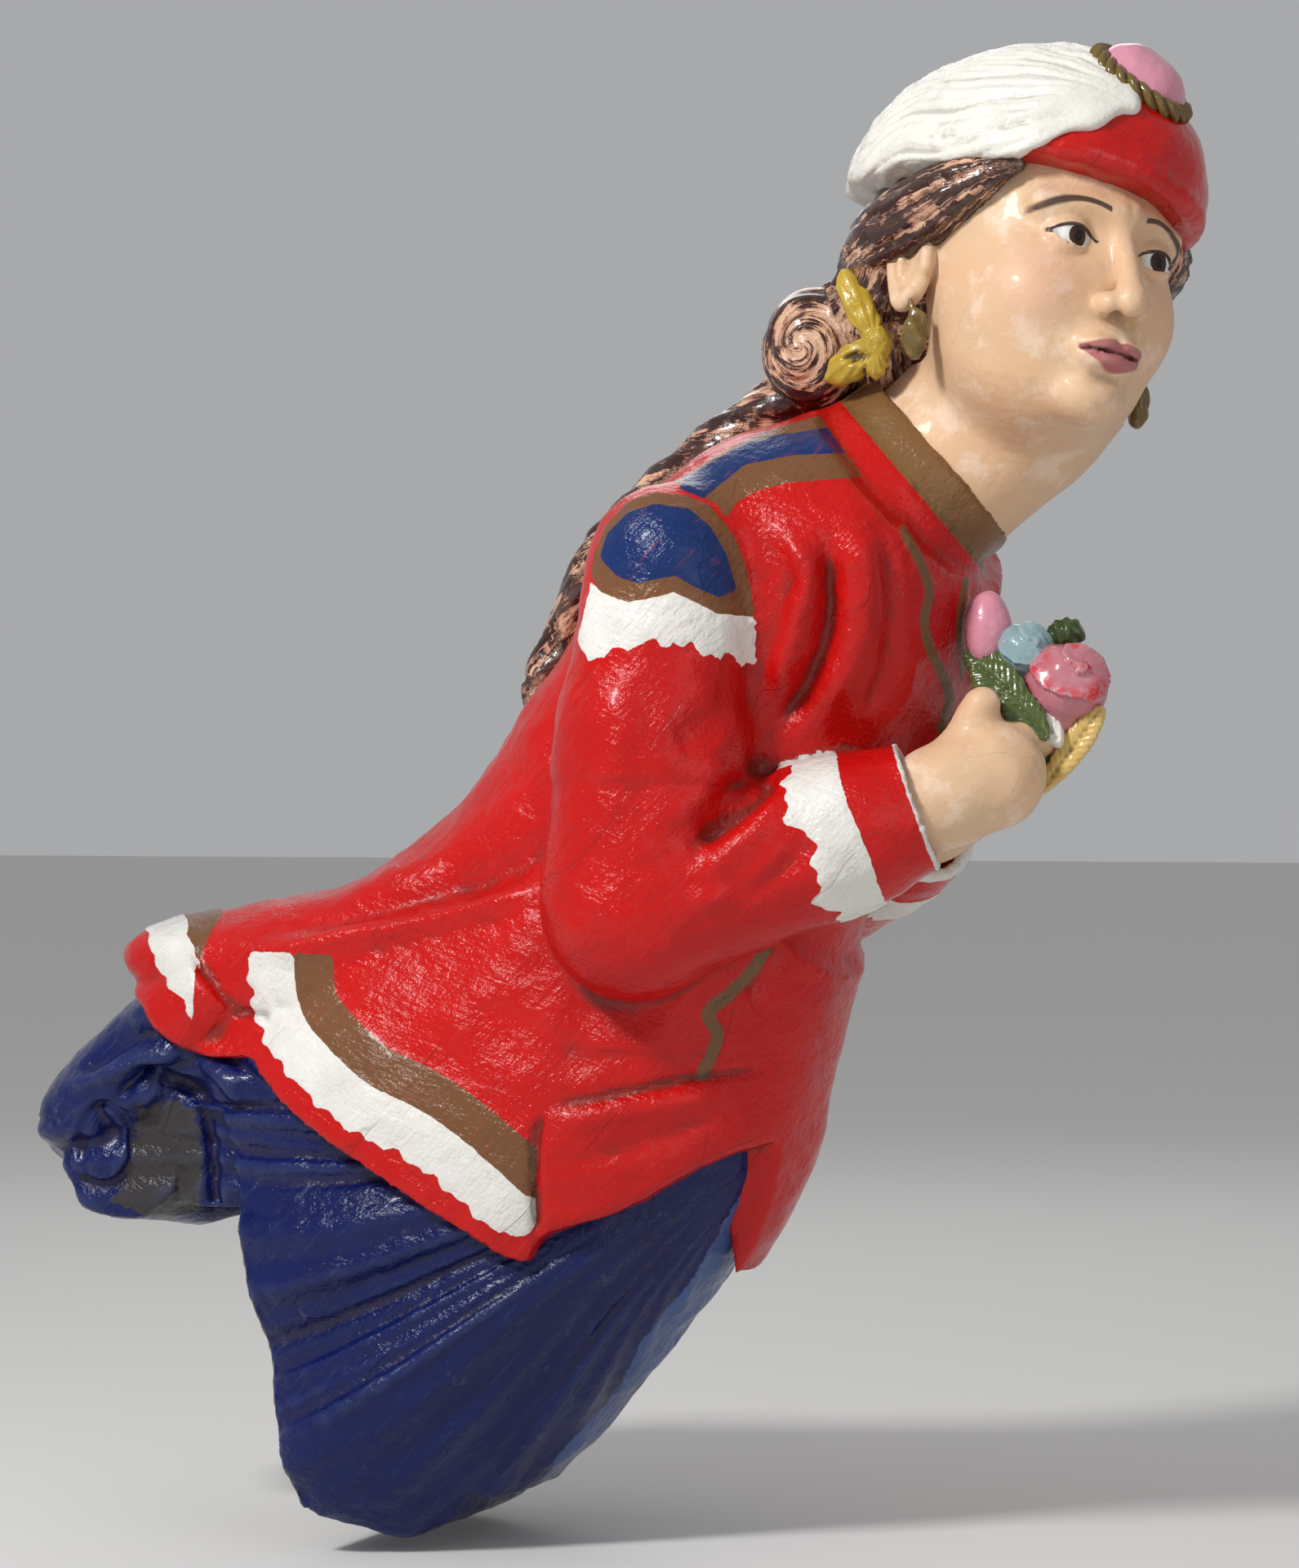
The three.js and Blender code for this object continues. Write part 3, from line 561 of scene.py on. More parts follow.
def make_enamel_group():
    """Old brushed gloss paint: uneven colour, brush lines, lumps, scuffs, dirt specks, and painted shade
    darkening the hollows.
    """
    tree, given, out = new_group("brushed gloss paint", [
        ("Colour", COLOUR, grey(0.5)),
        ("Worn colour", COLOUR, grey(0.6)),
        ("Vary", VALUE, 0.5),
        ("Wear", VALUE, 0.3),
        ("Grime", VALUE, 0.5),
    ], [("Colour", COLOUR), ("Roughness", VALUE), ("Height", VALUE)])
    place = object_place(tree)
    broad = noise(tree, place, 7.0, 3.0, 0.55)
    patches = noise(tree, place, 26.0, 4.0, 0.6)
    lines_a = noise(tree, stretched(tree, place, (0.004, 0.012, 0.035), (0.0, 0.75, 0.0)), 1.0, 4.0, 0.6)
    lines_b = noise(tree, stretched(tree, place, (0.022, 0.010, 0.0035), (0.0, 0.35, 0.0)), 1.0, 3.0, 0.6)
    lumps = noise(tree, place, 110.0, 3.0, 0.6, 0.4)
    fine = noise(tree, place, 330.0, 2.0, 0.5)

    tone = maths(tree, "MULTIPLY_ADD", broad, 0.55, maths(tree, "MULTIPLY_ADD", patches, 0.35, 0.05))
    tone = rescale(tree, tone, 0.32, 0.68)
    tone = maths(tree, "MULTIPLY", tone, given["Vary"])
    dark = blend_colour(tree, 0.55, given["Colour"], grey(0.0))
    colour = blend_colour(tree, maths(tree, "MULTIPLY", tone, 0.8), given["Colour"], dark)
    streaks = rescale(tree, lines_a, 0.56, 0.74)
    streaks = maths(tree, "MULTIPLY", streaks, maths(tree, "MULTIPLY", given["Vary"], 0.35))
    colour = blend_colour(tree, streaks, colour, given["Worn colour"])
    rubbed = rescale(tree, maths(tree, "ADD", lumps, maths(tree, "MULTIPLY", patches, 0.7)), 1.02, 1.16)
    ridges = rescale(tree, maths(tree, "MULTIPLY", attribute(tree, "hollow"), -1.0), 0.02, 0.10)
    worn = maths(tree, "MULTIPLY", maths(tree, "MAXIMUM", rubbed, maths(tree, "MULTIPLY", ridges, patches)),
                 given["Wear"], clamp=True)
    colour = blend_colour(tree, worn, colour, given["Worn colour"])
    # Painted shade: the paint is darkened towards black-brown where the surface is hollow, in creases and
    # recesses, standing in for the shade there; the fine specks added to it are dirt.
    hollow_shade = rescale(tree, attribute(tree, "hollow"), 0.015, 0.09)
    specks = rescale(tree, fine, 0.66, 0.74, 0.0, 0.25)
    grime = maths(tree, "MULTIPLY", maths(tree, "ADD", hollow_shade, specks), given["Grime"], clamp=True)
    colour = blend_colour(tree, grime, colour, (0.035, 0.022, 0.014, 1.0))
    tree.links.new(colour, out["Colour"])

    rough = maths(tree, "MULTIPLY_ADD", patches, 0.22, 0.10)
    rough = maths(tree, "MULTIPLY_ADD", maths(tree, "MAXIMUM", worn, grime), 0.25, rough)
    tree.links.new(rough, out["Roughness"])

    height = 0.0
    for layer, share in ((lines_a, 0.7), (lines_b, 0.5), (lumps, 0.9), (fine, 0.35)):
        height = maths(tree, "MULTIPLY_ADD", layer, share, height)
    tree.links.new(height, out["Height"])
    return tree


def make_crack_group():
    """Fine splits that run with the grain of the wood, up the body."""
    tree, given, out = new_group("drying cracks", [("Amount", VALUE, 1.0)], [("Mask", VALUE)])
    place = object_place(tree)
    bent = noise(tree, place, 9.0, 2.0)
    shift = joined(tree, X=maths(tree, "MULTIPLY", bent, 0.05), Y=0.0)
    moved = put(tree, "ShaderNodeVectorMath", {"operation": "ADD"}, i0=place, i1=shift).outputs[0]
    grain = stretched(tree, moved, (0.11, 0.11, 1.1), (0.0, math.radians(40), 0.0))
    settings = {"feature": "DISTANCE_TO_EDGE"}
    cells = put(tree, "ShaderNodeTexVoronoi", settings, Vector=grain, Scale=1.0).outputs[0]
    line = rescale(tree, cells, 0.0, 0.005, 1.0, 0.0)
    some = rescale(tree, noise(tree, place, 14.0, 3.0), 0.50, 0.56)
    mask = maths(tree, "MULTIPLY", maths(tree, "MULTIPLY", line, some), given["Amount"], clamp=True)
    tree.links.new(mask, out["Mask"])
    return tree


enamel = make_enamel_group()
cracks = make_crack_group()
BUMP_DEPTH = 0.0022   # metres
CRACK_DARK = (0.02, 0.012, 0.01, 1.0)


# The setting after wear scales the painted shade in the hollows together with the dirt specks.
def finish(name, colour, worn, vary, wear, grime, split, bump, coat, dull=0.0):
    """A painted finish; colour is one paint, or a function of the tree that gives its socket."""
    material = bpy.data.materials.new(name)
    material.use_nodes = True
    tree = material.node_tree
    tree.nodes.clear()
    paint = put(tree, "ShaderNodeGroup", {"node_tree": enamel}, Worn_colour=worn, Vary=vary, Wear=wear,
                Grime=grime, Colour=colour(tree) if callable(colour) else colour)
    crack = put(tree, "ShaderNodeGroup", {"node_tree": cracks}, Amount=split).outputs[0]
    colour = blend_colour(tree, crack, paint.outputs["Colour"], CRACK_DARK)
    rough = maths(tree, "ADD", paint.outputs["Roughness"], dull, clamp=True)
    height = maths(tree, "MULTIPLY_ADD", crack, -1.2, paint.outputs["Height"])
    normal = put(tree, "ShaderNodeBump", None, Strength=bump, Distance=BUMP_DEPTH, Height=height).outputs[0]
    shader = put(tree, "ShaderNodeBsdfPrincipled", None, Base_Color=colour, Roughness=rough, Normal=normal)
    for label, value in (("Coat Weight", coat), ("Coat Roughness", 0.08), ("Specular IOR Level", 0.26)):
        shader.inputs[label].default_value = value
    output = put(tree, "ShaderNodeOutputMaterial")
    tree.links.new(shader.outputs[0], output.inputs[0])
    return material


def painted(base, layers):
    """Paint laid over a base: each layer is (attribute, colour, ragged edge in mm)."""
    def colour_of(tree):
        place = object_place(tree)
        edge = noise(tree, place, 130.0, 3.0, 0.6)
        colour = base
        for name, paint, ragged in layers:
            shift = maths(tree, "MULTIPLY", maths(tree, "SUBTRACT", edge, 0.5), ragged)
            mask = rescale(tree, maths(tree, "ADD", attribute(tree, name), shift), -0.35, 0.35)
            colour = blend_colour(tree, mask, colour, paint)
        return colour
    return colour_of


RED = (0.55, 0.005, 0.004, 1.0)
RED_WORN = (0.62, 0.06, 0.04, 1.0)
NAVY = (0.002, 0.008, 0.085, 1.0)
NAVY_WORN = (0.07, 0.10, 0.22, 1.0)
TRIM_BLUE = (0.006, 0.026, 0.125, 1.0)
TRIM_BROWN = (0.18, 0.075, 0.030, 1.0)
COLLAR_GOLD = (0.21, 0.105, 0.038, 1.0)
PIPING = (0.18, 0.088, 0.035, 1.0)
WHITE = (0.78, 0.76, 0.71, 1.0)
FLESH = (0.70, 0.47, 0.29, 1.0)
FLESH_WORN = (0.88, 0.70, 0.53, 1.0)
HAIR_DARK = (0.035, 0.010, 0.008, 1.0)
HAIR_CREAM = (0.74, 0.48, 0.32, 1.0)

PLAIN_PAINTS = {   # colour, worn colour, vary, wear, painted hollow shade with dirt specks, split, bump, coat
    "red cap": (RED, RED_WORN, 0.35, 0.12, 0.3, 0.3, 0.5, 0.3),
    "pink": ((0.66, 0.27, 0.35, 1.0), (0.80, 0.55, 0.58, 1.0), 0.25, 0.2, 0.15, 0.1, 0.3, 0.3),
    "old gold": ((0.17, 0.105, 0.025, 1.0), (0.34, 0.25, 0.08, 1.0), 0.7, 0.5, 0.6, 0.0, 0.3, 0.5),
    "white": ((0.80, 0.77, 0.70, 1.0), (0.62, 0.52, 0.40, 1.0), 0.2, 0.10, 0.32, 0.1, 0.45, 0.12),
    "yellow": ((0.55, 0.36, 0.035, 1.0), (0.70, 0.55, 0.16, 1.0), 0.8, 0.3, 0.9, 0.1, 0.5, 0.3),
    "pale blue": ((0.30, 0.44, 0.47, 1.0), (0.50, 0.62, 0.62, 1.0), 0.5, 0.3, 0.5, 0.0, 0.3, 0.4),
    "dark green": ((0.035, 0.065, 0.012, 1.0), (0.10, 0.15, 0.05, 1.0), 0.6, 0.3, 0.5, 0.0, 0.4, 0.5),
    "leaf green": ((0.085, 0.125, 0.030, 1.0), (0.30, 0.32, 0.14, 1.0), 0.6, 0.4, 0.3, 0.0, 0.4, 0.5),
    "straw yellow": ((0.66, 0.45, 0.13, 1.0), (0.80, 0.66, 0.36, 1.0), 0.5, 0.3, 0.4, 0.0, 0.4, 0.4),
}
plain = {name: finish(f"{name} paint", *row) for name, row in PLAIN_PAINTS.items()}

# ---- camera, floor and light -------------------------------------------------------------

scene.view_settings.view_transform = "Standard"
camera_data = bpy.data.cameras.new("camera")
camera = add_object("camera", camera_data)
scene.camera = camera
camera.location = CAMERA_PLACE
camera.rotation_euler = (math.radians(90), 0.0, CAMERA_TURN)
camera_data.sensor_fit = "VERTICAL"
camera_data.sensor_height = 24.0
camera_data.lens = 24.0 * FRAME_HEIGHT_AT[1] / FRAME_HEIGHT_AT[0]

floor_mesh = bpy.data.meshes.new("floor")
FLOOR_HALF, FLOOR_DROP = 30.0, 0.012
floor_level = cad_box[0][2] - FLOOR_DROP
floor_mesh.from_pydata(
    [(x * FLOOR_HALF, y * FLOOR_HALF, floor_level) for x, y in ((-1, -1), (1, -1), (1, 1), (-1, 1))],
    [], [(0, 1, 2, 3)],
)
floor_paint = bpy.data.materials.new("pale floor")
floor_paint.use_nodes = True
floor_shader = floor_paint.node_tree.nodes["Principled BSDF"]
floor_shader.inputs["Base Color"].default_value = (0.72, 0.71, 0.69, 1.0)
floor_shader.inputs["Roughness"].default_value = 0.9
floor_mesh.materials.append(floor_paint)
add_object("floor", floor_mesh)

world = bpy.data.worlds.new("studio")
scene.world = world
world.use_nodes = True
sky = world.node_tree.nodes["Background"].inputs
sky["Color"].default_value = (0.80, 0.81, 0.83, 1.0)
sky["Strength"].default_value = 0.49

LIT_PLACE = Vector((0.3, 0.0, 0.4))
for name, place, size, power in (
    ("key", (-0.7, -2.5, 2.4), 0.6, 92.0),
    ("fill", (2.8, -2.4, 1.0), 1.8, 12.0),
    ("back", (-0.6, 2.6, 2.2), 1.8, 12.0),
):
    data = bpy.data.lights.new(name, "AREA")
    data.shape, data.size, data.energy = "DISK", size, power
    light = add_object(name, data)
    light.location = place
    light.rotation_euler = (LIT_PLACE - Vector(place)).to_track_quat("-Z", "Y").to_euler()

# ---- skirt, drape and roll ---------------------------------------------------------------

skirt_outline = loft((0, 0, 0), 0.0, [
    [-136, 8, 122, 100], [-108, -34, 146, 128], [-55, -70, 199, 147], [15, -100, 260, 152],
    [75, -120, 310, 150], [160, -140, 352, 144], [240, -140, 358, 132],
], 2.1)

skirt_edge = profile([
    [-20, -80], [30, -106], [88, -126], [118, -118], [134, -98], [158, -100], [200, -78], [250, -44],
])

FOLD_APEX = np.array([357.0, 165.0])   # the folds fan out from here, in side view
WIDE_FOLDS, NARROW_FOLDS = 17, 52


def skirt_folds(x, z):
    angle = np.arctan2(FOLD_APEX[1] - z, FOLD_APEX[0] - x)
    reach = np.hypot(FOLD_APEX[0] - x, FOLD_APEX[1] - z)
    wide = np.sin(angle * WIDE_FOLDS + 0.6) * np.clip((reach - 60) / 260, 0, 1) * 9
    narrow = np.sin(angle * NARROW_FOLDS + 2.0 * np.sin(angle * 9)) * np.clip((reach - 40) / 300, 0, 1) * 2.2
    return wide + narrow


def skirt_form(x, y, z):
    edge, = skirt_edge(x)
    behind = x * math.cos(SEAT_LEAN) + z * math.sin(SEAT_LEAN)
    body = np.maximum(skirt_outline(x, y, z) + skirt_folds(x, z), (edge - z) * 0.85)
    return np.maximum(body, np.minimum(-behind, SKIRT_STEP - z))


drape_form = loft((-110, 0, 222), math.radians(-130), [
    [-70, -44, 46, 124], [0, -50, 52, 118], [79, -40, 52, 104], [112, -24, 42, 88], [130, -6, 20, 60],
], 2.3)

drape_root = loft((-60, 0, 170), 0.0, [[-64, -50, 60, 78], [0, -70, 70, 92], [60, -80, 80, 108]], 4)


def roll_middle(y):
    t = np.abs(y) / ROLL_END[1]
    return (ROLL_MIDDLE[axis] + (ROLL_END[axis] - ROLL_MIDDLE[axis]) * t for axis in (0, 2))


def roll_form(x, y, z):
    middle_x, middle_z = roll_middle(y)
    return np.maximum(np.hypot(x - middle_x, z - middle_z) - ROLL_RADIUS, np.abs(y) - ROLL_END[1])


def roll_eye(x, y, z):
    middle_x, middle_z = roll_middle(y)
    disc = oval(x - middle_x + 14, z - middle_z - 10, 25, 31)
    return np.maximum(disc, np.abs(y) - ROLL_END[1] - 6) + 0 * disc


def roll_lip(x, y, z):
    """The lip of cloth that turns up under the roll."""
    middle_x, middle_z = roll_middle(y)
    ring = np.abs(np.hypot(x - middle_x + 3, z - middle_z - 2) - ROLL_RADIUS + 1) - 4.5
    return most(ring, np.abs(y) - ROLL_END[1] + 4, z - middle_z + 6 - (middle_x - x) * 0.7)


def stem_form(x, y, z):
    """The space that the ship's stem fills, behind the seat and under its top."""
    sin, cos = math.sin(SEAT_LEAN), math.cos(SEAT_LEAN)
    along = z * cos - x * sin
    behind = x * cos + z * sin
    return np.maximum(behind, along - SEAT_TOP) + 0 * y


# Laid-out routes, each fold with its width and its height; a negative height is a groove.
DRAPE_FOLDS = [
    ([(-232, 186), (-206, 196), (-170, 205), (-128, 214)], 7, 7),
    ([(-222, 190), (-196, 215), (-168, 228), (-120, 232)], 8, -8),
    ([(-180, 238), (-150, 250), (-110, 246)], 8, 5),
    ([(-190, 176), (-166, 196), (-130, 205), (-104, 196)], 6, -9),
    ([(-168, 190), (-130, 203), (-96, 196), (-80, 172)], 6, 7),
    ([(-110, 226), (-84, 206), (-66, 190), (-50, 186)], 8, -8),
    ([(-84, 226), (-40, 200), (-20, 192)], 9, 6),
    ([(-206, 178), (-200, 162), (-182, 148)], 7, -8),
    ([(-120, 176), (-60, 176), (-20, 178), (30, 172)], 3.5, -8),
    ([(-178, 200), (-150, 194), (-124, 184), (-112, 172)], 9, -13),
    ([(-172, 176), (-150, 184), (-128, 178), (-116, 160)], 4, 4),
    ([(-112, 168), (-108, 140), (-106, 110), (-104, 92)], 5, -9),
]
EYE_LOOP = curve([(-198, 174), (-180, 166), (-174, 146), (-180, 123), (-195, 113), (-212, 118), (-218, 145),
                  (-212, 167), (-198, 174), (-180, 166)], 3)
ROLL_BARE = [(-170, 173), (-137, 180), (-122, 172), (-116, 148), (-114, 120), (-118, 96), (-150, 88),
             (-190, 100), (-179, 122), (-172, 149)]
# The inner line of the pale strip down the skirt's front; rows of (height, forward).
FRONT_EDGE = [(-95, 160), (-63, 188), (-30, 216), (12, 243), (60, 279), (92, 301), (133, 324)]


def build_skirt():
    field = Field((-248, -185, -148), (400, 185, 325), 3.0)
    field.join(skirt_form, (-190, -180, -148), (400, 180, 262))
    field.join(drape_form, (-248, -150, 90), (20, 150, 320), 8)
    field.join(drape_root, (-160, -130, 90), (40, 130, 240), 6)
    near_roll = ((-240, -112, 70), (-40, 112, 225))
    field.join(roll_form, *near_roll, 3)
    field.join(roll_lip, *near_roll, 3)
    field.join(roll_eye, *near_roll, 1.5)
    field.carve(stem_form)

    def relief(points, normals):
        flat = laid_out(points)
        out = ripple(points, 60, 3) * 1.0 + ripple(points, 16, 4) * 0.4 + ripple(points, 7, 5) * 0.12
        sides = np.clip(np.abs(normals[:, 1]) * 2, 0, 1)
        out += creases(flat, DRAPE_FOLDS) * sides
        ends = sides * step_up(-points[:, 0], 100, 130)
        out -= 3 * np.exp(-(side_distance(flat, EYE_LOOP)[0] / 3.2) ** 2) * ends
        hypotenuse = np.hypot(FOLD_APEX[0] - points[:, 0], FOLD_APEX[1] - points[:, 2])
        angle = np.arctan2(FOLD_APEX[1] - points[:, 2], FOLD_APEX[0] - points[:, 0])
        fine = np.sin(angle * 96 + 3 * np.sin(angle * 13) + 1.5 * np.sin(hypotenuse / 60))
        pleat = np.where(points[:, 2] < 170, np.clip(hypotenuse / 170 - 0.2, 0, 1), 0)
        out += fine * pleat * 1.7
        seat = np.abs(points[:, 0] * math.cos(SEAT_LEAN) + points[:, 2] * math.sin(SEAT_LEAN)) < 3
        out[seat & (points[:, 2] < SEAT_TOP)] *= 0.1
        return out

    def paint(points, normals):
        x, y, z = points.T
        sawn = 2.2 - np.abs(x * math.cos(SEAT_LEAN) + z * math.sin(SEAT_LEAN))
        sawn[(z > SEAT_TOP - 2) | (np.abs(y) > 140)] = -5
        flat = laid_out(points)
        barrel = np.where(x < -60, inside(flat, ROLL_BARE) * 0.5, -5)
        facet = flat[:, 0] - np.interp(flat[:, 2], *zip(*FRONT_EDGE)) + 2 * np.sin(z / 13)
        return {"sawn": sawn, "barrel": barrel, "facet": facet}

    layers = [
        ("facet", (0.045, 0.095, 0.27, 1.0), 9.0),
        ("barrel", (0.038, 0.033, 0.036, 1.0), 9.0),
        ("sawn", (0.17, 0.13, 0.095, 1.0), 1.0),
    ]
    blue = finish("blue paint", painted(NAVY, layers), NAVY_WORN, vary=0.5, wear=0.30, grime=0.35, split=0.3,
                  bump=0.7, coat=0.12)
    sculpt("figurehead_skirt", field, blue, relief, paint)


# ---- jacket ------------------------------------------------------------------------------

torso_form = loft(TORSO_MIDDLE, TORSO_LEAN, [
    [-130, -140, 150, 140], [0, -148, 144, 126], [90, -134, 143, 134], [173, -126, 145, 150],
    [232, -112, 134, 158], [275, -88, 122, 146], [315, -46, 112, 104], [345, -8, 92, 70],
], 2.3)

peplum_form = loft((0, 0, 0), JACKET_LEAN, [
    [60, -238, 186, 158], [150, -238, 186, 168], [200, -234, 186, 166], [280, -222, 182, 157],
    [350, -212, 162, 143], [420, -202, 120, 128], [480, -180, 84, 112],
], 2.2)

hem_height = profile([
    [-60, 292], [-20, 230], [22, 190], [93, 146], [162, 104], [204, 80], [216, 98], [272, 120],
    [334, 156], [372, 166],
])

# Laid-out routes of the trims and folds.
SIDE_HEM = curve([(-83, 292), (-81, 250), (-67, 213), (-35, 176), (-1, 148), (45, 125), (91, 90), (125, 65),
                  (146, 60)])
PANEL_TOP, PANEL_FRONT = 291, 157
PIPINGS = [   # half width, route
    (3.6, curve([(440, 603), (453, 578), (460, 558), (456, 538), (460, 518), (471, 494), (475, 479),
                 (468, 459)])),
    (4.8, curve([(336, 300), (324, 282), (307, 266), (291, 252), (299, 238), (293, 220), (287, 208)])),
    (2.6, curve([(487, 566), (482, 533), (486, 492)])),
]
STRAP_TOP = [(269, 636), (282, 653), (306, 665), (346, 673), (396, 679)]
STRAP_LOW = [(404, 659), (356, 658), (320, 652), (301, 638), (288, 628)]
STRAP_BACK = [(264, 642), (300, 676), (404, 690)]
STRAP_EDGE = [(408, 641), (351, 638), (327, 632), (314, 625), (304, 611)]
BADGE = [(200, 574), (203, 590), (211, 609), (229, 627), (248, 634), (272, 631), (293, 623), (312, 600),
         (322, 575), (328, 541), (298, 544), (277, 555), (265, 560), (248, 556), (229, 553), (207, 561)]
BADGE_FIELD = [(207, 586), (213, 604), (229, 619), (250, 625), (277, 621), (293, 608), (306, 587), (314, 560),
               (300, 556), (282, 563), (266, 572), (253, 570), (237, 567), (221, 572)]
TAIL_OUTER = [(-176, 330), (-160, 304), (-156, 288), (-143, 266), (-132, 258), (-121, 235), (-112, 233)]
TAIL_INNER = [(-105, 241), (-104, 264), (-116, 283), (-126, 300), (-129, 317), (-140, 345)]
TAIL_FLAP = [(-166, 300), (-172, 262), (-156, 234), (-134, 219), (-112, 212), (-84, 212), (-66, 212),
             (-64, 250), (-74, 300)]
TAIL_BROWN = [(-108, 350), (-99, 324), (-98, 311), (-89, 294), (-104, 268)]


def lower_jacket(x, y, z):
    hem, = hem_height(x)
    flap = np.where(x > 318, 66 + np.maximum(np.abs(y) - 24, 0) * 4, 999)
    return np.maximum(peplum_form(x, y, z), (np.minimum(hem, flap) - z) * 0.8)


tail_section = profile([
    [-150, 291, 12, 64], [-130, 291, 24, 94], [-97, 282, 42, 110], [-70, 275, 53, 118],
    [-30, 279, 57, 123], [20, 284, 62, 128], [110, 300, 80, 128], [150, 312, 78, 122],
])
TAIL_END, TAIL_ROOT = -150, 150


def tail_form(x, y, z):
    middle, tall, half = tail_section(x)
    body = oval(z - middle, y, tall, half, 2.6)
    return most(body, TAIL_END - x, x - TAIL_ROOT)


def tail_flap(x, y, z):
    """The lower corner of the tail, which lies on the drape."""
    points = np.stack([part.ravel() for part in np.broadcast_arrays(x, y, z)], axis=1).astype(float)
    cut = -inside(laid_out(points), TAIL_FLAP)
    cloth = np.min([drape_form(x, y, z), drape_root(x, y, z), skirt_form(x, y, z)], axis=0) - 9
    return within(cloth, cut.reshape(cloth.shape).astype(np.float32), 5)


def between(a, b, t):
    return a + (b - a) * t


def sleeve_forms(side, wrist):
    shoulder = SHOULDER * (1, side, 1)
    elbow = ELBOW * (1, side, 1)
    return [
        (limb(shoulder, between(shoulder, elbow, 0.55), 58, 66), 22, shoulder),
        (limb(between(shoulder, elbow, 0.5), elbow, 66, 66), 14, between(shoulder, elbow, 0.75)),
        (limb(elbow, between(elbow, wrist, 0.8), 62, 54), 10, between(elbow, wrist, 0.4)),
        (limb(between(elbow, wrist, 0.6), wrist, 55, 47, flat=True), 5, between(elbow, wrist, 0.8)),
    ]


def leftward(shape):
    """Leans a form to her left about the middle of the collar."""
    sin, cos = math.sin(COLLAR_TILT), math.cos(COLLAR_TILT)

    def leaning(x, y, z):
        dy, dz = y - COLLAR[1], z - COLLAR[2]
        return shape(x, COLLAR[1] + dy * cos - dz * sin, COLLAR[2] + dy * sin + dz * cos)
    return leaning


def collar_place(x, y, z):
    """Height above the collar's plane, and the reach from its axis."""
    sin, cos = math.sin(COLLAR_TILT), math.cos(COLLAR_TILT)
    across = y * cos - (z - COLLAR[2]) * sin
    dz = y * sin + (z - COLLAR[2]) * cos
    dx = x - COLLAR[0]
    height = dx * math.sin(COLLAR_LEAN) + dz * math.cos(COLLAR_LEAN)
    return height, np.hypot(dx * math.cos(COLLAR_LEAN) - dz * math.sin(COLLAR_LEAN), across)


def shoulders(x, y, z):
    """The body, stopped at the collar."""
    above = (x - COLLAR[0]) * math.sin(COLLAR_LEAN) + (z - COLLAR[2]) * math.cos(COLLAR_LEAN)
    return np.maximum(torso_form(x, y, z), above + 22)


def torso_place(points):
    sin, cos = math.sin(TORSO_LEAN), math.cos(TORSO_LEAN)
    dx, dz = points[:, 0] - TORSO_MIDDLE[0], points[:, 2] - TORSO_MIDDLE[2]
    return dx * sin + dz * cos, dx * cos - dz * sin


def nearness(points, forms):
    return np.min([shape(*points.T) for shape in forms], axis=0)


BODY_FOLDS = [
    ([(351, 600), (368, 574), (362, 544), (353, 514), (338, 485)], 10, 10),
    ([(384, 596), (386, 539), (370, 494), (343, 456)], 8, -11),
    ([(404, 606), (412, 560), (404, 516), (378, 470)], 12, 7),
    ([(424, 600), (432, 556), (428, 508), (408, 462)], 7, -5),
    ([(448, 520), (444, 490), (430, 462)], 8, 3),
    ([(-82, 293), (-35, 297), (5, 307), (57, 315), (125, 331), (170, 346)], 8, 8),
    ([(-60, 312), (0, 322), (60, 336), (130, 356), (190, 392)], 11, -9),
    ([(20, 345), (90, 372), (160, 420)], 14, 5),
    ([(150, 470), (170, 430), (190, 400)], 16, 5),
    ([(167, 183), (195, 187), (256, 200), (283, 206), (316, 210), (338, 216)], 3.2, -5),
    ([(172, 168), (220, 178), (262, 186), (306, 194)], 9, 5),
    ([(175, 140), (215, 148), (262, 164), (300, 176)], 8, -3),
    ([(170, 330), (120, 270), (80, 225)], 20, 4),
    ([(230, 320), (200, 262), (180, 200)], 18, -4),
    ([(290, 290), (262, 250), (236, 206)], 14, 3),
    ([(350, 330), (338, 290), (318, 262)], 10, -5),
    ([(164, 180), (156, 152), (157, 80)], 3.2, -8),
]
ARM_FOLDS = [
    ([(326, 545), (334, 505), (334, 465), (336, 425)], 4, -6),
    ([(342, 428), (320, 405), (283, 376)], 6, -12),
    ([(352, 412), (338, 396), (312, 372), (286, 356)], 9, 6),
    ([(300, 440), (286, 414), (262, 392)], 12, 5),
    ([(318, 500), (300, 470), (262, 450)], 14, -4),
    ([(250, 500), (238, 440), (240, 380)], 16, -4),
    ([(372, 384), (340, 352), (300, 336)], 9, -5),
    ([(352, 372), (320, 344), (276, 330)], 8, 4),
    ([(440, 425), (452, 398), (456, 372)], 5, -2),
]


def hem_trims(flat, y):
    """The scalloped white strip and the brown band inside the side hem, ending at the slit."""
    u, v = flat[:, 0], flat[:, 2]
    hem, along = side_distance(flat, SIDE_HEM)
    grow = np.clip(along / 260, 0, 1)
    body_side = u - np.interp(v, SIDE_HEM[::-1, 1], SIDE_HEM[::-1, 0])
    panel = least(PANEL_FRONT - u, PANEL_TOP - v - 0.03 * u, np.abs(y) - 60, body_side)
    scallop = 4.0 * np.abs(np.sin(along * math.pi / 31)) + 1.6 * np.sin(along * 0.37)
    white_from, brown_from = 9 + 12 * grow, 43 + 12 * grow
    white = least(hem - white_from + scallop, brown_from + 1 - hem, panel)
    white = np.where(u > 132, np.minimum(white, 16 - np.hypot(u - 142, v - 101)), white)
    white = np.where((u > 132) & (v > 101), np.minimum(panel, brown_from - hem), white)
    return white, least(hem - brown_from, brown_from + 33 - hem, panel)


def tail_trims(flat, x, y):
    """The same strip and band, where they turn round the end of the tail."""
    lobes = 3.0 * np.abs(np.sin(flat[:, 2] * math.pi / 17))
    white = inside(flat, TAIL_OUTER + TAIL_INNER) + lobes - 1.5
    brown = inside(flat, TAIL_INNER[::-1] + TAIL_BROWN[::-1])
    return (np.where(x < -60, np.minimum(tail, 162 - np.abs(y)), -5) for tail in (white, brown))


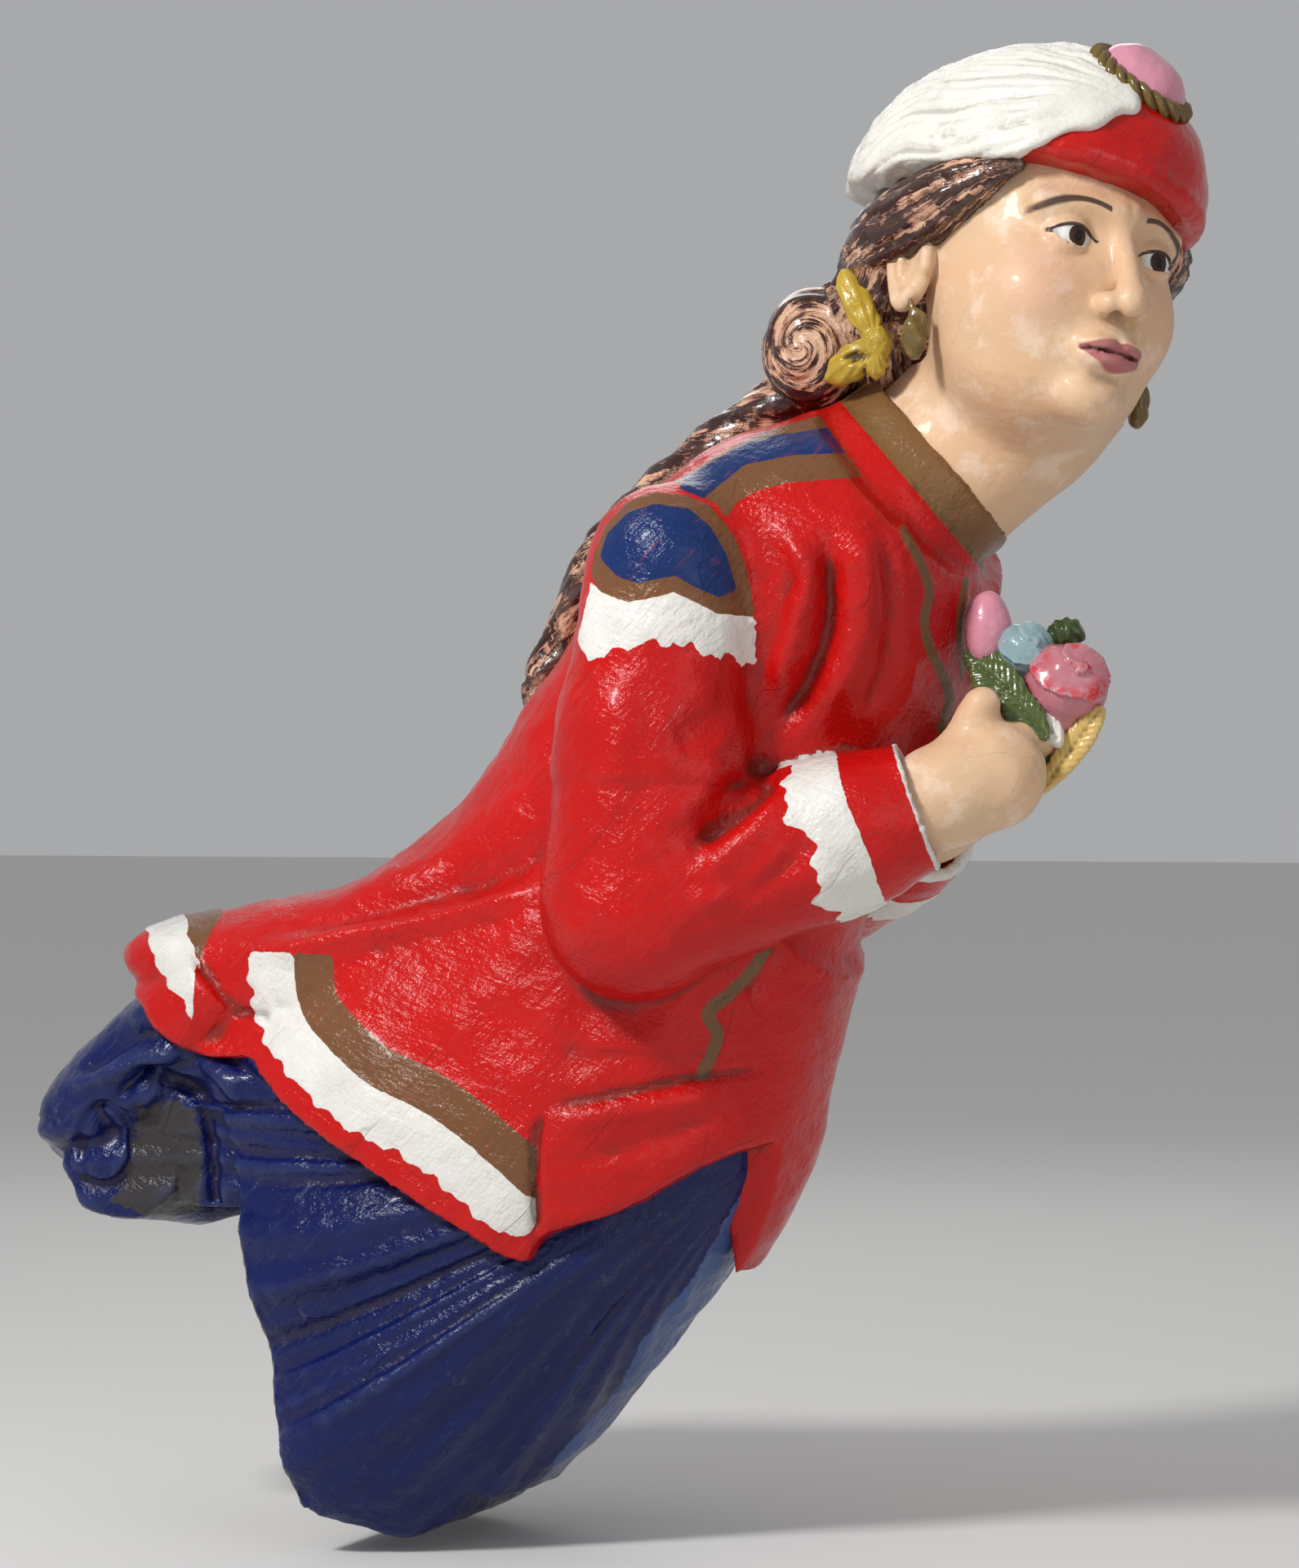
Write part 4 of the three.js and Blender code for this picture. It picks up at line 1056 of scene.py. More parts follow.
def shoulder_trims(flat, points, on_body):
    """The blue and brown of the strap and the badge, and the badge's torn white fringe."""
    u, v = flat[:, 0], flat[:, 2]
    outward = np.abs(points[:, 1])
    height, forward = torso_place(points)
    behind = forward - np.interp(height, (243, 259, 297, 326), (-68, -62, -40, -12))
    strap = np.minimum(inside(flat, STRAP_TOP + STRAP_LOW), behind)
    strap_all = np.minimum(inside(flat, STRAP_BACK + STRAP_EDGE), behind + 5)
    badge = np.minimum(inside(flat, BADGE), outward - 118)
    blue = np.maximum(np.minimum(inside(flat, BADGE_FIELD), outward - 118), strap)
    brown = np.maximum(badge, np.where(badge > -4, -5, strap_all))
    torn = 3 * np.sin(u * 0.21) + 2.2 * np.sin(u * 0.43 + 1.0) + 1.2 * np.sin(u * 1.1)
    hang = np.interp(u, (185, 207, 232, 264, 306, 333), (520, 512, 522, 523, 511, 507))
    rise = np.interp(u, (196, 229, 265, 298, 330), (570, 554, 560, 545, 541))
    fringe = least(rise - v, v - hang - torn, u - 187 - (v - 515) * 0.25, 334 - u, outward - 100)
    return blue, brown, np.where(on_body < 3, np.minimum(fringe, -badge), -5)


def cuff_bands(points, on_fore):
    """The band round each cuff, ragged towards the elbow, and the pale rim that ends the sleeve."""
    bands = []
    for side, wrist in WRISTS.items():
        elbow = ELBOW * (1, side, 1)
        run = wrist - elbow
        length = np.linalg.norm(run)
        place = (points - elbow) @ run / length
        off = points - elbow - place[:, None] * run / length
        turn = np.arctan2(off[:, 2], off[:, 1])
        wave = 5 * np.sin(turn * 5 + 1) + 3.5 * np.sin(turn * 11 + 2) + 2 * np.sin(turn * 23)
        band = np.minimum(place - length * 0.62 + wave, length * 0.62 + 38 + np.sin(turn * 4) - place)
        band = np.maximum(band, np.minimum(place - length + 2.5, 4.0))
        bands.append(np.where((points[:, 1] * side > -20) & (on_fore > -3), band, -5))
    return np.maximum(*bands)


def build_jacket():
    field = Field((-200, -240, 40), (560, 240, 742), 3.8)
    field.join(tail_form, (-190, -160, 180), (170, 160, 410))
    field.join(tail_flap, (-190, -150, 190), (0, 150, 312), 4)
    field.join(lower_jacket, (-120, -200, 40), (480, 200, 500), 5)
    field.join(shoulders, (80, -190, 230), (560, 190, 740), 24)
    sleeves = {side: sleeve_forms(side, wrist) for side, wrist in WRISTS.items()}
    for forms in sleeves.values():
        for shape, blend, middle in forms:
            field.join(shape, middle - 150, middle + 150, blend)
    red = loft(COLLAR, COLLAR_LEAN, [[-46, -88, 90, 88], [-26, -81, 85, 81], [-14, -79, 81, 77]])
    gold = loft(COLLAR, COLLAR_LEAN, [[-20, -78, 78, 75], [6, -77, 78, 70], [15, -75, 76, 67]])
    field.join(leftward(red), COLLAR - 120, COLLAR + 120, 9)
    field.join(leftward(gold), COLLAR - 120, COLLAR + 120, 1)
    for side, wrist in WRISTS.items():
        elbow = ELBOW * (1, side, 1)
        field.carve(limb(between(elbow, wrist, 0.93), between(elbow, wrist, 1.1), 38, 41, flat=True),
                    wrist - 70, wrist + 70, 3)

    upper_arm = [shape for forms in sleeves.values() for shape, _, _ in forms[:2]]
    forearm = [shape for forms in sleeves.values() for shape, _, _ in forms[2:]]

    def relief(points, normals):
        out = ripple(points, 75, 11) * 1.2 + ripple(points, 24, 12) * 0.5 + ripple(points, 9, 13) * 0.14
        sides = np.clip(np.abs(normals[:, 1]) * 2.5, 0, 1)
        arm = step_up(nearness(points, [torso_form]) - nearness(points, upper_arm + forearm), -2, 6)
        flat = laid_out(points)
        out += creases(flat, BODY_FOLDS) * sides * (1 - arm) + creases(flat, ARM_FOLDS) * sides * arm
        masks = paint(points, normals)
        for name, lift in (("white", 1.2), ("brown", 1.0), ("blue", 0.8), ("piping", 1.6)):
            out += lift * step_up(masks[name], -1.5, 1.5)
        return out

    def paint(points, normals):
        x, y, z = points.T
        flat = laid_out(points)
        near_arm, near_fore = nearness(points, upper_arm), nearness(points, forearm)
        near_body = nearness(points, [torso_form, peplum_form])
        on_body = np.minimum(near_arm, near_fore) - near_body
        on_fore = np.minimum(near_body, near_arm) - near_fore
        blue, brown_top, fringe = shoulder_trims(flat, points, on_body)
        piping = most(*(half - side_distance(flat, route)[0] for half, route in PIPINGS))
        piping = np.where((on_body > 0) & (np.abs(y) > 8) & (x > 200), piping, -5)
        ring, reach = collar_place(x, y, z)
        gold = np.where(reach < 86, np.minimum(ring + 14.5, 18.0 - ring), -5.0)
        covered = (gold > 0) | ((ring > -42) & (reach < 87))
        for mask in (blue, brown_top, piping):
            mask[covered] = -5
        white_hem, brown_hem = hem_trims(flat, y)
        white_tail, brown_tail = tail_trims(flat, x, y)
        return {
            "white": most(white_hem, white_tail, fringe, cuff_bands(points, on_fore)),
            "brown": most(brown_hem, brown_tail, brown_top),
            "blue": blue,
            "piping": piping,
            "gold": gold,
        }

    layers = [
        ("piping", PIPING, 2.0),
        ("gold", COLLAR_GOLD, 0.8),
        ("brown", TRIM_BROWN, 1.2),
        ("blue", TRIM_BLUE, 0.8),
        ("white", WHITE, 3.0),
    ]
    red_paint = finish("red jacket paint", painted(RED, layers), RED_WORN, vary=0.42, wear=0.06, grime=0.55,
                       split=0.25, bump=0.7, coat=0.08)
    sculpt("figurehead_jacket", field, red_paint, relief, paint)


# ---- head --------------------------------------------------------------------------------

EYE = (83, 33, 0)          # middle of the left eyeball; the right one is its mirror image
EYE_RADIUS = 15.0
MOUTH_HEIGHT = -73
FEATURES = {   # painted on the flesh: colour and soft edge in mm
    "lips": ((0.42, 0.13, 0.13, 1.0), 0.8),
    "seam": ((0.12, 0.03, 0.03, 1.0), 0.6),
    "white": ((0.80, 0.78, 0.74, 1.0), 0.4),
    "iris": ((0.045, 0.016, 0.010, 1.0), 0.4),
    "pupil": ((0.004, 0.003, 0.003, 1.0), 0.4),
    "lid_line": ((0.05, 0.025, 0.02, 1.0), 0.5),
    "brow": ((0.09, 0.05, 0.035, 1.0), 0.5),
    "cheek": (None, 0.0),   # a blush, blended in softly
}


def eye_opening(y, z):
    """Positive outside the almond of the open eye."""
    across = (np.abs(y) - EYE[1]) / 15.5
    tall = 6.2 * np.clip(1 - across * across, 0, 1) ** 0.75
    middle = EYE[2] - 0.6 + 0.8 * across
    return np.abs(z - middle) - tall


def eye_ball(x, y, z):
    return np.sqrt((x - EYE[0]) ** 2 + (np.abs(y) - EYE[1]) ** 2 + (z - EYE[2]) ** 2) - EYE_RADIUS


def lid_form(x, y, z):
    return np.maximum(eye_ball(x, y, z) - 2.6, -eye_opening(y, z))


def build_head():
    field = Field((392, -135, 570), (690, 140, 925), 2.0)

    def join(shape, blend):
        field.join(on_head(shape), blend=blend)

    def carve(shape, blend):
        field.carve(on_head(shape), blend=blend)

    neck = loft(COLLAR, NECK_LEAN, [
        [-40, -62, 74, 62],
        [30, -62, 78, 62],
        [80, -58, 84, 66],
        [122, -48, 80, 64],
    ])
    field.join(leftward(neck), COLLAR - 130, COLLAR + 190)
    join(ellipsoid((-8, 0, 28), (108, 86, 90)), 18)
    join(ellipsoid((26, 0, -30), (78, 76, 88)), 22)
    join(ellipsoid((34, 0, -66), (64, 63, 50)), 16)
    join(paired(ellipsoid((60, 40, -36), (34, 28, 32))), 18)
    join(ellipsoid((86, 0, -99), (19, 23, 17)), 16)
    join(paired(limb((100, 6, 22), (82, 52, 20), 6, 7)), 14)
    join(ellipsoid((96, 0, 20), (10, 14, 11)), 8)
    carve(paired(ellipsoid((112, 33, 1), (19, 21, 15))), 12)
    join(paired(lid_form), 2.5)
    join(paired(ellipsoid(EYE, (EYE_RADIUS,) * 3)), 0)
    join(limb((97, 0, 14), (119, 0, -34), 6, 8.5), 9)
    join(limb((116, 0, -36), (119, 0, -40), 9, 9.5), 5)
    join(paired(ellipsoid((108, 11.5, -42), (11, 7.5, 8))), 5)
    carve(paired(ellipsoid((112, 6.5, -50), (6, 3.2, 4))), 3)
    join(ellipsoid((101, 0, MOUTH_HEIGHT + 1), (13, 24, 15)), 12)
    join(paired(ellipsoid((109, 7.5, MOUTH_HEIGHT + 4.5), (7, 13, 4.8))), 4)
    join(ellipsoid((107, 0, MOUTH_HEIGHT - 6), (8.5, 16, 6)), 4)
    carve(paired(limb((117, 0, MOUTH_HEIGHT - 0.5), (103, 24, MOUTH_HEIGHT + 0.5), 1.5, 1.5)), 2.5)
    carve(ellipsoid((110, 0, MOUTH_HEIGHT - 16), (8, 16, 4)), 8)
    carve(limb((118, 0, -55), (115, 0, -64), 2.2, 2.8), 4)

    # Ears: a tilted plate with a raised rim, a hollow and a lobe.
    join(paired(ellipsoid((-8, 85, -16), (20, 9, 31))), 5)
    carve(paired(ellipsoid((-2, 95, -14), (13, 6, 20))), 4)
    rim = [(8, 90, 0, 3.4), (0, 92, 14, 3.8), (-14, 93, 14, 4.0), (-24, 92, -4, 4.0), (-18, 91, -30, 4.2),
           (-8, 90, -44, 6.5), (0, 89, -38, 5.0)]
    ridge = [(-4, 91, -2, 3.0), (-12, 92, -12, 3.0), (-10, 92, -26, 3.0)]
    tragus = [(10, 87, -12, 4), (10, 87, -22, 4)]
    for side in (1, -1):
        for rows, blend in ((rim, 2.5), (ridge, 2.5), (tragus, 3)):
            field.join_route(head_route([(x, y * side, z, r) for x, y, z, r in rows]), blend)

    def relief(points, normals):
        return ripple(points, 30, 21) * 0.35 + ripple(points, 9, 22) * 0.10

    def paint(points, normals):
        x, y, z = to_head(points).T
        front = x - 60
        opening = -eye_opening(y, z)
        white = least(opening + 0.3, 1.5 - eye_ball(x, y, z), front)
        look = np.hypot(np.abs(y) - EYE[1] - 0.8 * np.sign(y), z - EYE[2] + 0.5)
        beside = np.abs(np.abs(y) - EYE[1])
        lid_line = least(1.25 - np.abs(opening + 0.5), front, 17.5 - beside, z - EYE[2] + 1.5)
        arch = 24 - 0.013 * (np.abs(y) - 30) ** 2
        brow = np.minimum(1.7 - np.abs(z - arch), 22 - np.abs(np.abs(y) - 36)) - 0.5
        thick = np.clip((54 - np.abs(y)) / 30, 0.35, 1)
        brow = np.minimum(brow * thick + 0.6, front)
        upper = MOUTH_HEIGHT + 8.2 - 1.8 * np.exp(-(y / 3.5) ** 2) - 0.011 * y * y
        lower = MOUTH_HEIGHT - 11.5 + 0.019 * y * y
        lips = least(upper - z, z - lower, 24 - np.abs(y), front)
        seam = least(1.1 - np.abs(z - MOUTH_HEIGHT + 0.3), 23 - np.abs(y), front)
        cheek = 26 - np.sqrt((np.abs(y) - 46) ** 2 + (z + 34) ** 2 + (x - 78) ** 2)
        iris, pupil = np.minimum(7.0 - look, white), np.minimum(3.4 - look, white)
        return dict(zip(FEATURES, (lips, seam, white, iris, pupil, lid_line, brow, cheek)))

    def colour_of(tree):
        place = object_place(tree)
        warm = rescale(tree, noise(tree, place, 18.0, 4.0, 0.6), 0.40, 0.66)
        flesh = blend_colour(tree, maths(tree, "MULTIPLY", warm, 0.5), FLESH, (0.76, 0.45, 0.26, 1.0))
        pale = rescale(tree, noise(tree, place, 30.0, 4.0, 0.7), 0.50, 0.68)
        flesh = blend_colour(tree, maths(tree, "MULTIPLY", pale, 0.5), flesh, (0.88, 0.70, 0.56, 1.0))
        blush = rescale(tree, attribute(tree, "cheek"), -22.0, 24.0, 0.0, 0.30)
        colour = blend_colour(tree, blush, flesh, (0.80, 0.36, 0.28, 1.0))
        for name, (paint_colour, soft) in FEATURES.items():
            if paint_colour:
                mask = rescale(tree, attribute(tree, name), -soft, soft)
                colour = blend_colour(tree, mask, colour, paint_colour)
        return colour

    flesh_paint = finish("flesh paint", colour_of, FLESH_WORN, vary=0.16, wear=0.15, grime=0.28, split=0.12,
                         bump=0.2, coat=0.08, dull=0.22)
    sculpt("figurehead_head", field, flesh_paint, relief, paint)
    return flesh_paint


# ---- hair --------------------------------------------------------------------------------


def strands(across, along, count, seed):
    """Carved strand ridges that follow a lock, -1 in the grooves and 1 on the ridges."""
    drift = 0.9 * np.sin(along / 24 + seed) + 0.5 * np.sin(along / 11 + 2 * seed)
    return np.sin(across * count + drift) * 0.7 + np.sin(across * count * 2.3 + 1.7 * drift) * 0.3


def build_hair():
    swags = []
    for side in (1, -1):
        swags.append(head_route([
            (72, side * 68, 42, 5), (52, side * 80, 36, 13), (18, side * 86, 22, 23),
            (-30, side * 84, 8, 28), (-70, side * 70, -4, 27), (-98, side * 40, -20, 22),
        ]))
        swags.append(head_route([
            (-40, side * 84, -4, 20), (-66, side * 72, -34, 21),
            (-84, side * 46, -66, 22), (-96, side * 16, -82, 22),
        ]))
    lock = Route([
        (352, 0, 696, 22), (298, -4, 662, 20), (246, 4, 626, 18), (208, -5, 582, 18), (180, 4, 534, 16),
        (164, -3, 500, 13), (158, 0, 478, 9), (166, 3, 468, 7), (174, 0, 476, 6),
    ], 5)
    crown = on_head(ellipsoid((-24, 0, 14), (106, 94, 94)))
    bun = ellipsoid(BUN, (42, 46, 47))
    link = Route([(BUN[0] + 20, 0, BUN[2] + 12, 32), (BUN[0] + 52, 0, BUN[2] + 34, 42)])

    field = Field((140, -125, 450), (640, 125, 925), 2.5)
    box = from_head([(0, 0, 0)])[0]
    front_cut = on_head(lambda x, y, z: x * 0.92 - z * 0.38 + 0 * y - 6)
    field.join(lambda x, y, z: np.maximum(crown(x, y, z), front_cut(x, y, z)), box - 160, box + 160)
    for swag in swags:
        field.join_route(swag, 5)
    field.join(bun, BUN - 70, BUN + 70, 3)
    field.join_route(link, 6)
    field.join_route(lock, 4)

    def flow(points):
        """Across, along and strand count of the lock that each point belongs to."""
        best = bun(*points.T)
        off = points - BUN
        turn = np.arctan2(off[:, 2], off[:, 0])
        reach = np.hypot(off[:, 0], off[:, 2] * 0.9)
        across = reach / 7.5 + turn * 0.5 + 0.4 * np.sign(off[:, 1])
        along = turn * np.maximum(reach, 12)
        count = np.full(len(points), 3.0)
        head = to_head(points)
        scalp = crown(*points.T) + 2
        near = scalp < best
        best = np.where(near, scalp, best)
        across[near] = np.arctan2(head[near, 1], head[near, 2])
        along[near] = head[near, 0]
        count[near] = 26.0
        locks = [(swag, 0.004, 9) for swag in swags] + [(lock, 0.03, 4), (link, 0.02, 9)]
        for route, twist, lines in locks:
            distance, run, angle = route.follow(points)
            near = distance < best
            best[near] = distance[near]
            across[near] = angle[near] + run[near] * twist
            along[near] = run[near]
            count[near] = lines
        return across, along, count

    def relief(points, normals):
        across, along, count = flow(points)
        return strands(across, along, count, 1.0) * 1.7 + ripple(points, 30, 31) * 1.0

    def paint(points, normals):
        across, along, count = flow(points)
        ridge = strands(across, along, count, 1.0)
        worn = ripple(points, 46, 33) + 0.5 * ripple(points, 15, 34)
        head = to_head(points)
        nape = step_up(-head[:, 2], 5, 60) * step_up(-head[:, 0], 20, 70) * step_up(points[:, 2], 690, 720)
        dark = ridge * 0.8 - worn * 0.7 + 0.20 - nape * 1.0
        return {"dark": dark, "strand": across * count, "run": along}

    def colour_of(tree):
        strand = joined(tree, X=maths(tree, "MULTIPLY", attribute(tree, "strand"), 0.42),
                        Y=maths(tree, "MULTIPLY", attribute(tree, "run"), 0.018))
        place = object_place(tree)
        brush = noise(tree, strand, 2.2, 5.0, 0.7, 0.6)
        chips = noise(tree, place, 150.0, 4.0, 0.7)
        level = attribute(tree, "dark")
        for layer, middle, strength in ((brush, 0.47, 11.0), (chips, 0.5, 3.0)):
            level = maths(tree, "MULTIPLY_ADD", maths(tree, "SUBTRACT", layer, middle), strength, level)
        mask = rescale(tree, level, -0.35, 0.25)
        cream = blend_colour(tree, rescale(tree, noise(tree, place, 40.0, 4.0), 0.4, 0.65),
                             HAIR_CREAM, (0.62, 0.36, 0.24, 1.0))
        edge = maths(tree, "MULTIPLY", rescale(tree, level, -1.2, -0.2), 0.75)
        cream = blend_colour(tree, edge, cream, (0.36, 0.13, 0.07, 1.0))
        return blend_colour(tree, mask, cream, HAIR_DARK)

    hair_paint = finish("hair paint", colour_of, (0.70, 0.48, 0.36, 1.0), vary=0.25, wear=0.12, grime=0.35,
                        split=0.2, bump=0.5, coat=0.55)
    sculpt("figurehead_hair", field, hair_paint, relief, paint)


# ---- cap, cord and plume -----------------------------------------------------------------

CAP_MIDDLE = (12, 2, 56)
CAP_SIZE = (110, 98, 86)
BRIM, BRIM_FALL = 38, 0.12             # over the middle of the head, and down towards her left
CROWN_MIDDLE = np.array([84.0, 9.0, 113.0])
CROWN_UP = np.array([0.62, 0.15, 0.77]) / np.linalg.norm([0.62, 0.15, 0.77])
CROWN_RADIUS, CROWN_RISE = 33, 26


def crown_form(x, y, z):
    """The round top: a low dome square to its own leaning direction."""
    d = [value - middle for value, middle in zip((x, y, z), CROWN_MIDDLE)]
    rise = sum(part * way for part, way in zip(d, CROWN_UP))
    reach = sum(part * part for part in d) - rise * rise
    size = np.sqrt(np.maximum(reach, 0) / CROWN_RADIUS ** 2 + (rise / CROWN_RISE) ** 2)
    return (size - 1) * CROWN_RISE


def build_cap():
    dome = ellipsoid(CAP_MIDDLE, CAP_SIZE)
    field = Field((385, -150, 770), (700, 140, 965), 2.6)
    field.join(on_head(lambda x, y, z: within(dome(x, y, z), BRIM - BRIM_FALL * y - z, 8)))

    def relief(points, normals):
        x, y, z = to_head(points).T
        brim = np.exp(-((z + BRIM_FALL * y - BRIM - 9) / 6) ** 2) * 2.2
        return ripple(points, 42, 41) * 1.0 + ripple(points, 12, 42) * 0.25 + brim

    sculpt("figurehead_cap", field, plain["red cap"], relief)
    field = Field((560, -90, 830), (700, 110, 965), 1.8)
    field.join(on_head(crown_form))
    sculpt("figurehead_cap_crown", field, plain["pink"], relief)


CORD_SIZES = {"Strand radius": 0.0040, "Cord radius": 0.0036, "Turns": 21.0}
CORD_POINTS = 120


def build_cord():
    """The twisted cord round the crown: three strands wound along a closed loop."""
    tree = bpy.data.node_groups.new("twisted cord", "GeometryNodeTree")
    face = tree.interface
    face.new_socket("Geometry", in_out="INPUT", socket_type="NodeSocketGeometry")
    for label, value in CORD_SIZES.items():
        face.new_socket(label, in_out="INPUT", socket_type="NodeSocketFloat").default_value = value
    face.new_socket("Finish", in_out="INPUT", socket_type="NodeSocketMaterial")
    face.new_socket("Geometry", in_out="OUTPUT", socket_type="NodeSocketGeometry")
    given = tree.nodes.new("NodeGroupInput").outputs
    factor = put(tree, "GeometryNodeSplineParameter").outputs["Factor"]
    angle = maths(tree, "MULTIPLY", maths(tree, "MULTIPLY", factor, given["Turns"]), 2 * math.pi / 3)
    twisted = put(tree, "GeometryNodeSetCurveTilt", None, Curve=given["Geometry"], Tilt=angle).outputs[0]
    circle = put(tree, "GeometryNodeCurvePrimitiveCircle", None, Resolution=10,
                 Radius=given["Strand radius"]).outputs[0]
    strands_join = put(tree, "GeometryNodeJoinGeometry")
    for strand in range(3):
        way = 2 * math.pi * strand / 3
        offset = joined(tree, X=maths(tree, "MULTIPLY", given["Cord radius"], math.cos(way)),
                        Y=maths(tree, "MULTIPLY", given["Cord radius"], math.sin(way)))
        moved = put(tree, "GeometryNodeTransform", None, Geometry=circle, Translation=offset).outputs[0]
        tree.links.new(moved, strands_join.inputs[0])
    wound = put(tree, "GeometryNodeCurveToMesh", None, Curve=twisted, Profile_Curve=strands_join.outputs[0])
    real = put(tree, "GeometryNodeRealizeInstances", None, Geometry=wound.outputs[0]).outputs[0]
    shaded = put(tree, "GeometryNodeSetMaterial", None, Geometry=real, Material=given["Finish"]).outputs[0]
    out = tree.nodes.new("NodeGroupOutput")
    tree.links.new(shaded, out.inputs[0])

    data = bpy.data.curves.new("cord route", "CURVE")
    data.dimensions = "3D"
    spline = data.splines.new("POLY")
    spline.points.add(CORD_POINTS - 1)
    side = np.cross(CROWN_UP, (1.0, 0.0, 0.0))
    side /= np.linalg.norm(side)
    front = np.cross(side, CROWN_UP)
    for index, point in enumerate(spline.points):
        turn = 2 * math.pi * index / CORD_POINTS
        reach = CROWN_RADIUS + 0.6 * math.sin(turn * 5)
        local = CROWN_MIDDLE + (front * math.cos(turn) + side * math.sin(turn)) * reach + CROWN_UP * 3.5
        point.co = (*(from_head([local])[0] * MM), 1.0)
    spline.use_cyclic_u = True
    holder = add_object("cord route", data)
    modifier = holder.modifiers.new("cord", "NODES")
    modifier.node_group = tree
    names = {item.name: item.identifier for item in tree.interface.items_tree if item.in_out == "INPUT"}
    for label, value in {**CORD_SIZES, "Finish": plain["old gold"]}.items():
        modifier[names[label]] = value
    graph = bpy.context.evaluated_depsgraph_get()
    mesh = bpy.data.meshes.new_from_object(holder.evaluated_get(graph))
    bpy.data.objects.remove(holder)
    mesh.name = "figurehead_cap_cord"
    mesh.polygons.foreach_set("use_smooth", np.ones(len(mesh.polygons), bool))
    pieces.append(add_object(mesh.name, mesh))


PLUME_ROOT = np.array([118.0, -12.0, 84.0])
PLUME_WAY = np.array([-0.993, -0.07, -0.09])
PLUME_THICK = 6


def plume_locks(x, y, z):
    """Which lock a place belongs to, counted round the plume's own way, and how far back it is."""
    side = np.cross(PLUME_WAY, (0.0, 0.0, 1.0))
    side /= np.linalg.norm(side)
    top = np.cross(side, PLUME_WAY)
    back, left, up = offsets((x, y, z), PLUME_ROOT, (PLUME_WAY, side, top))
    bend = 0.30 * np.sin(back / 33) + 0.08 * np.sin(back / 12) + back * 0.005
    return np.arctan2(left, up) * 3.0 + bend, back


def plume_form(x, y, z):
    mass = melt(ellipsoid((-20, -8, 40), (127, 105, 107))(x, y, z),
                ellipsoid(CAP_MIDDLE, CAP_SIZE)(x, y, z) - PLUME_THICK, 12)
    low = 45 - 3.5 * np.abs(np.sin(x / 19 + 0.6)) + np.clip(-60 - x, 0, 40) * 0.2
    low = np.maximum(low, 61 + 0.25 * x + 0.52 * y + 2 * np.sin(y / 5))
    return within(within(mass, low - z, 8), (0.8 * y + 0.3 * x - 30) / 0.854, 12)


def build_plume():
    """The feather: one mass over the back and her right side, cut into flowing locks."""
    field = Field((385, -165, 760), (690, 130, 972), 2.2)
    field.join(on_head(plume_form))

    def relief(points, normals):
        x, y, z = to_head(points).T
        lock, back = plume_locks(x, y, z)
        groove = np.exp(-(np.abs(np.sin(lock * math.pi)) / 0.30) ** 2)
        small = np.sin(lock * math.pi * 6 + 2.2 * np.sin(back / 25)) * 0.7
        small += np.sin(lock * math.pi * 15 + 3.0 * np.sin(back / 18)) * 0.35
        start = step_up(back, 2, 40) * (1 - 0.7 * step_up(back, 170, 215))
        out = (small - 3.4 * groove) * start + ripple(points, 34, 51) * 1.3
        ring = np.hypot(x - 38, (z - 56) * 1.3)
        out += step_up(-y, 50, 80) * 2.6 * np.exp(-((ring - 10) / 3.5) ** 2)
        return out

    sculpt("figurehead_plume", field, plain["white"], relief)


def build_ribbon():
    field = Field((350, -92, 660), (480, 92, 830), 1.4)
    knot = np.array([438.0, 54.0, 732.0])

    def loop(tip, half, thick):
        tip = np.array(tip, float)
        ways = facing(tip - knot, np.array([0.2, 0.95, 0.15]))
        sizes = (np.linalg.norm(tip - knot) / 2, half, thick)

        def shape(x, y, z):
            parts = offsets((x, np.abs(y), z), (knot + tip) / 2, ways)
            return (np.sqrt(sum((part / size) ** 2 for part, size in zip(parts, sizes))) - 1) * thick
        return shape

    field.join(loop((409, 50, 786), 11, 7))
    field.join(loop((399, 50, 706), 13, 10), blend=3)
    field.join(loop((436, 54, 706), 8, 8), blend=2)
    field.join(paired(ellipsoid(knot, (11, 9, 11))), blend=3)
    field.carve(paired(ellipsoid((423, 66, 722), (12, 9, 6))), blend=2)

    def relief(points, normals):
        off = points - knot * (1, 0, 1)
        turn = np.arctan2(off[:, 2], off[:, 0])
        return ripple(points, 14, 61) * 0.5 + np.sin(turn * 26) * 0.5
    sculpt("figurehead_ribbon", field, plain["yellow"], relief)


# ---- hands -------------------------------------------------------------------------------


def build_hands(flesh_paint):
    for name, side, hand in (("right", -1, RIGHT_HAND), ("left", 1, LEFT_HAND)):
        wrist = WRISTS[side]
        field = Field(wrist - 75, hand + 75, 1.7)
        run = hand - wrist
        way = run / np.linalg.norm(run)
        field.join(limb(wrist - way * 20, between(wrist, hand, 0.3), 33, 34))
        field.join(limb(between(wrist, hand, 0.2), between(wrist, hand, 0.72), 35, 38), blend=10)
        thumb = between(wrist, hand, 0.42) + (0, -4 * side, 22)
        joints = ((0, 0, 0, 19), (8, 0, 20, 17), (14, 2 * side, 36, 13))
        field.join_route(Route([(*(thumb + joint[:3]), joint[3]) for joint in joints]), 9)
        for finger in range(4):
            knuckle = hand + (-2 - finger * 9, -2 * side, 16 - finger * 17.5)
            tip = knuckle + (12 - finger, -30 * side, 1)
            root = knuckle - way * 30 + (0, 4 * side, 3)
            radius = 13.5 - finger * 0.6
            field.join_route(Route([(*root, radius), (*knuckle, radius), (*tip, radius - 1.5)], 3), 5)

        def relief(points, normals):
            return ripple(points, 26, 71) * 0.5

        def paint(points, normals):
            return {label: np.full(len(points), -20.0) for label in FEATURES}

        sculpt(f"figurehead_{name}_hand", field, flesh_paint, relief, paint)


# ---- flowers -----------------------------------------------------------------------------


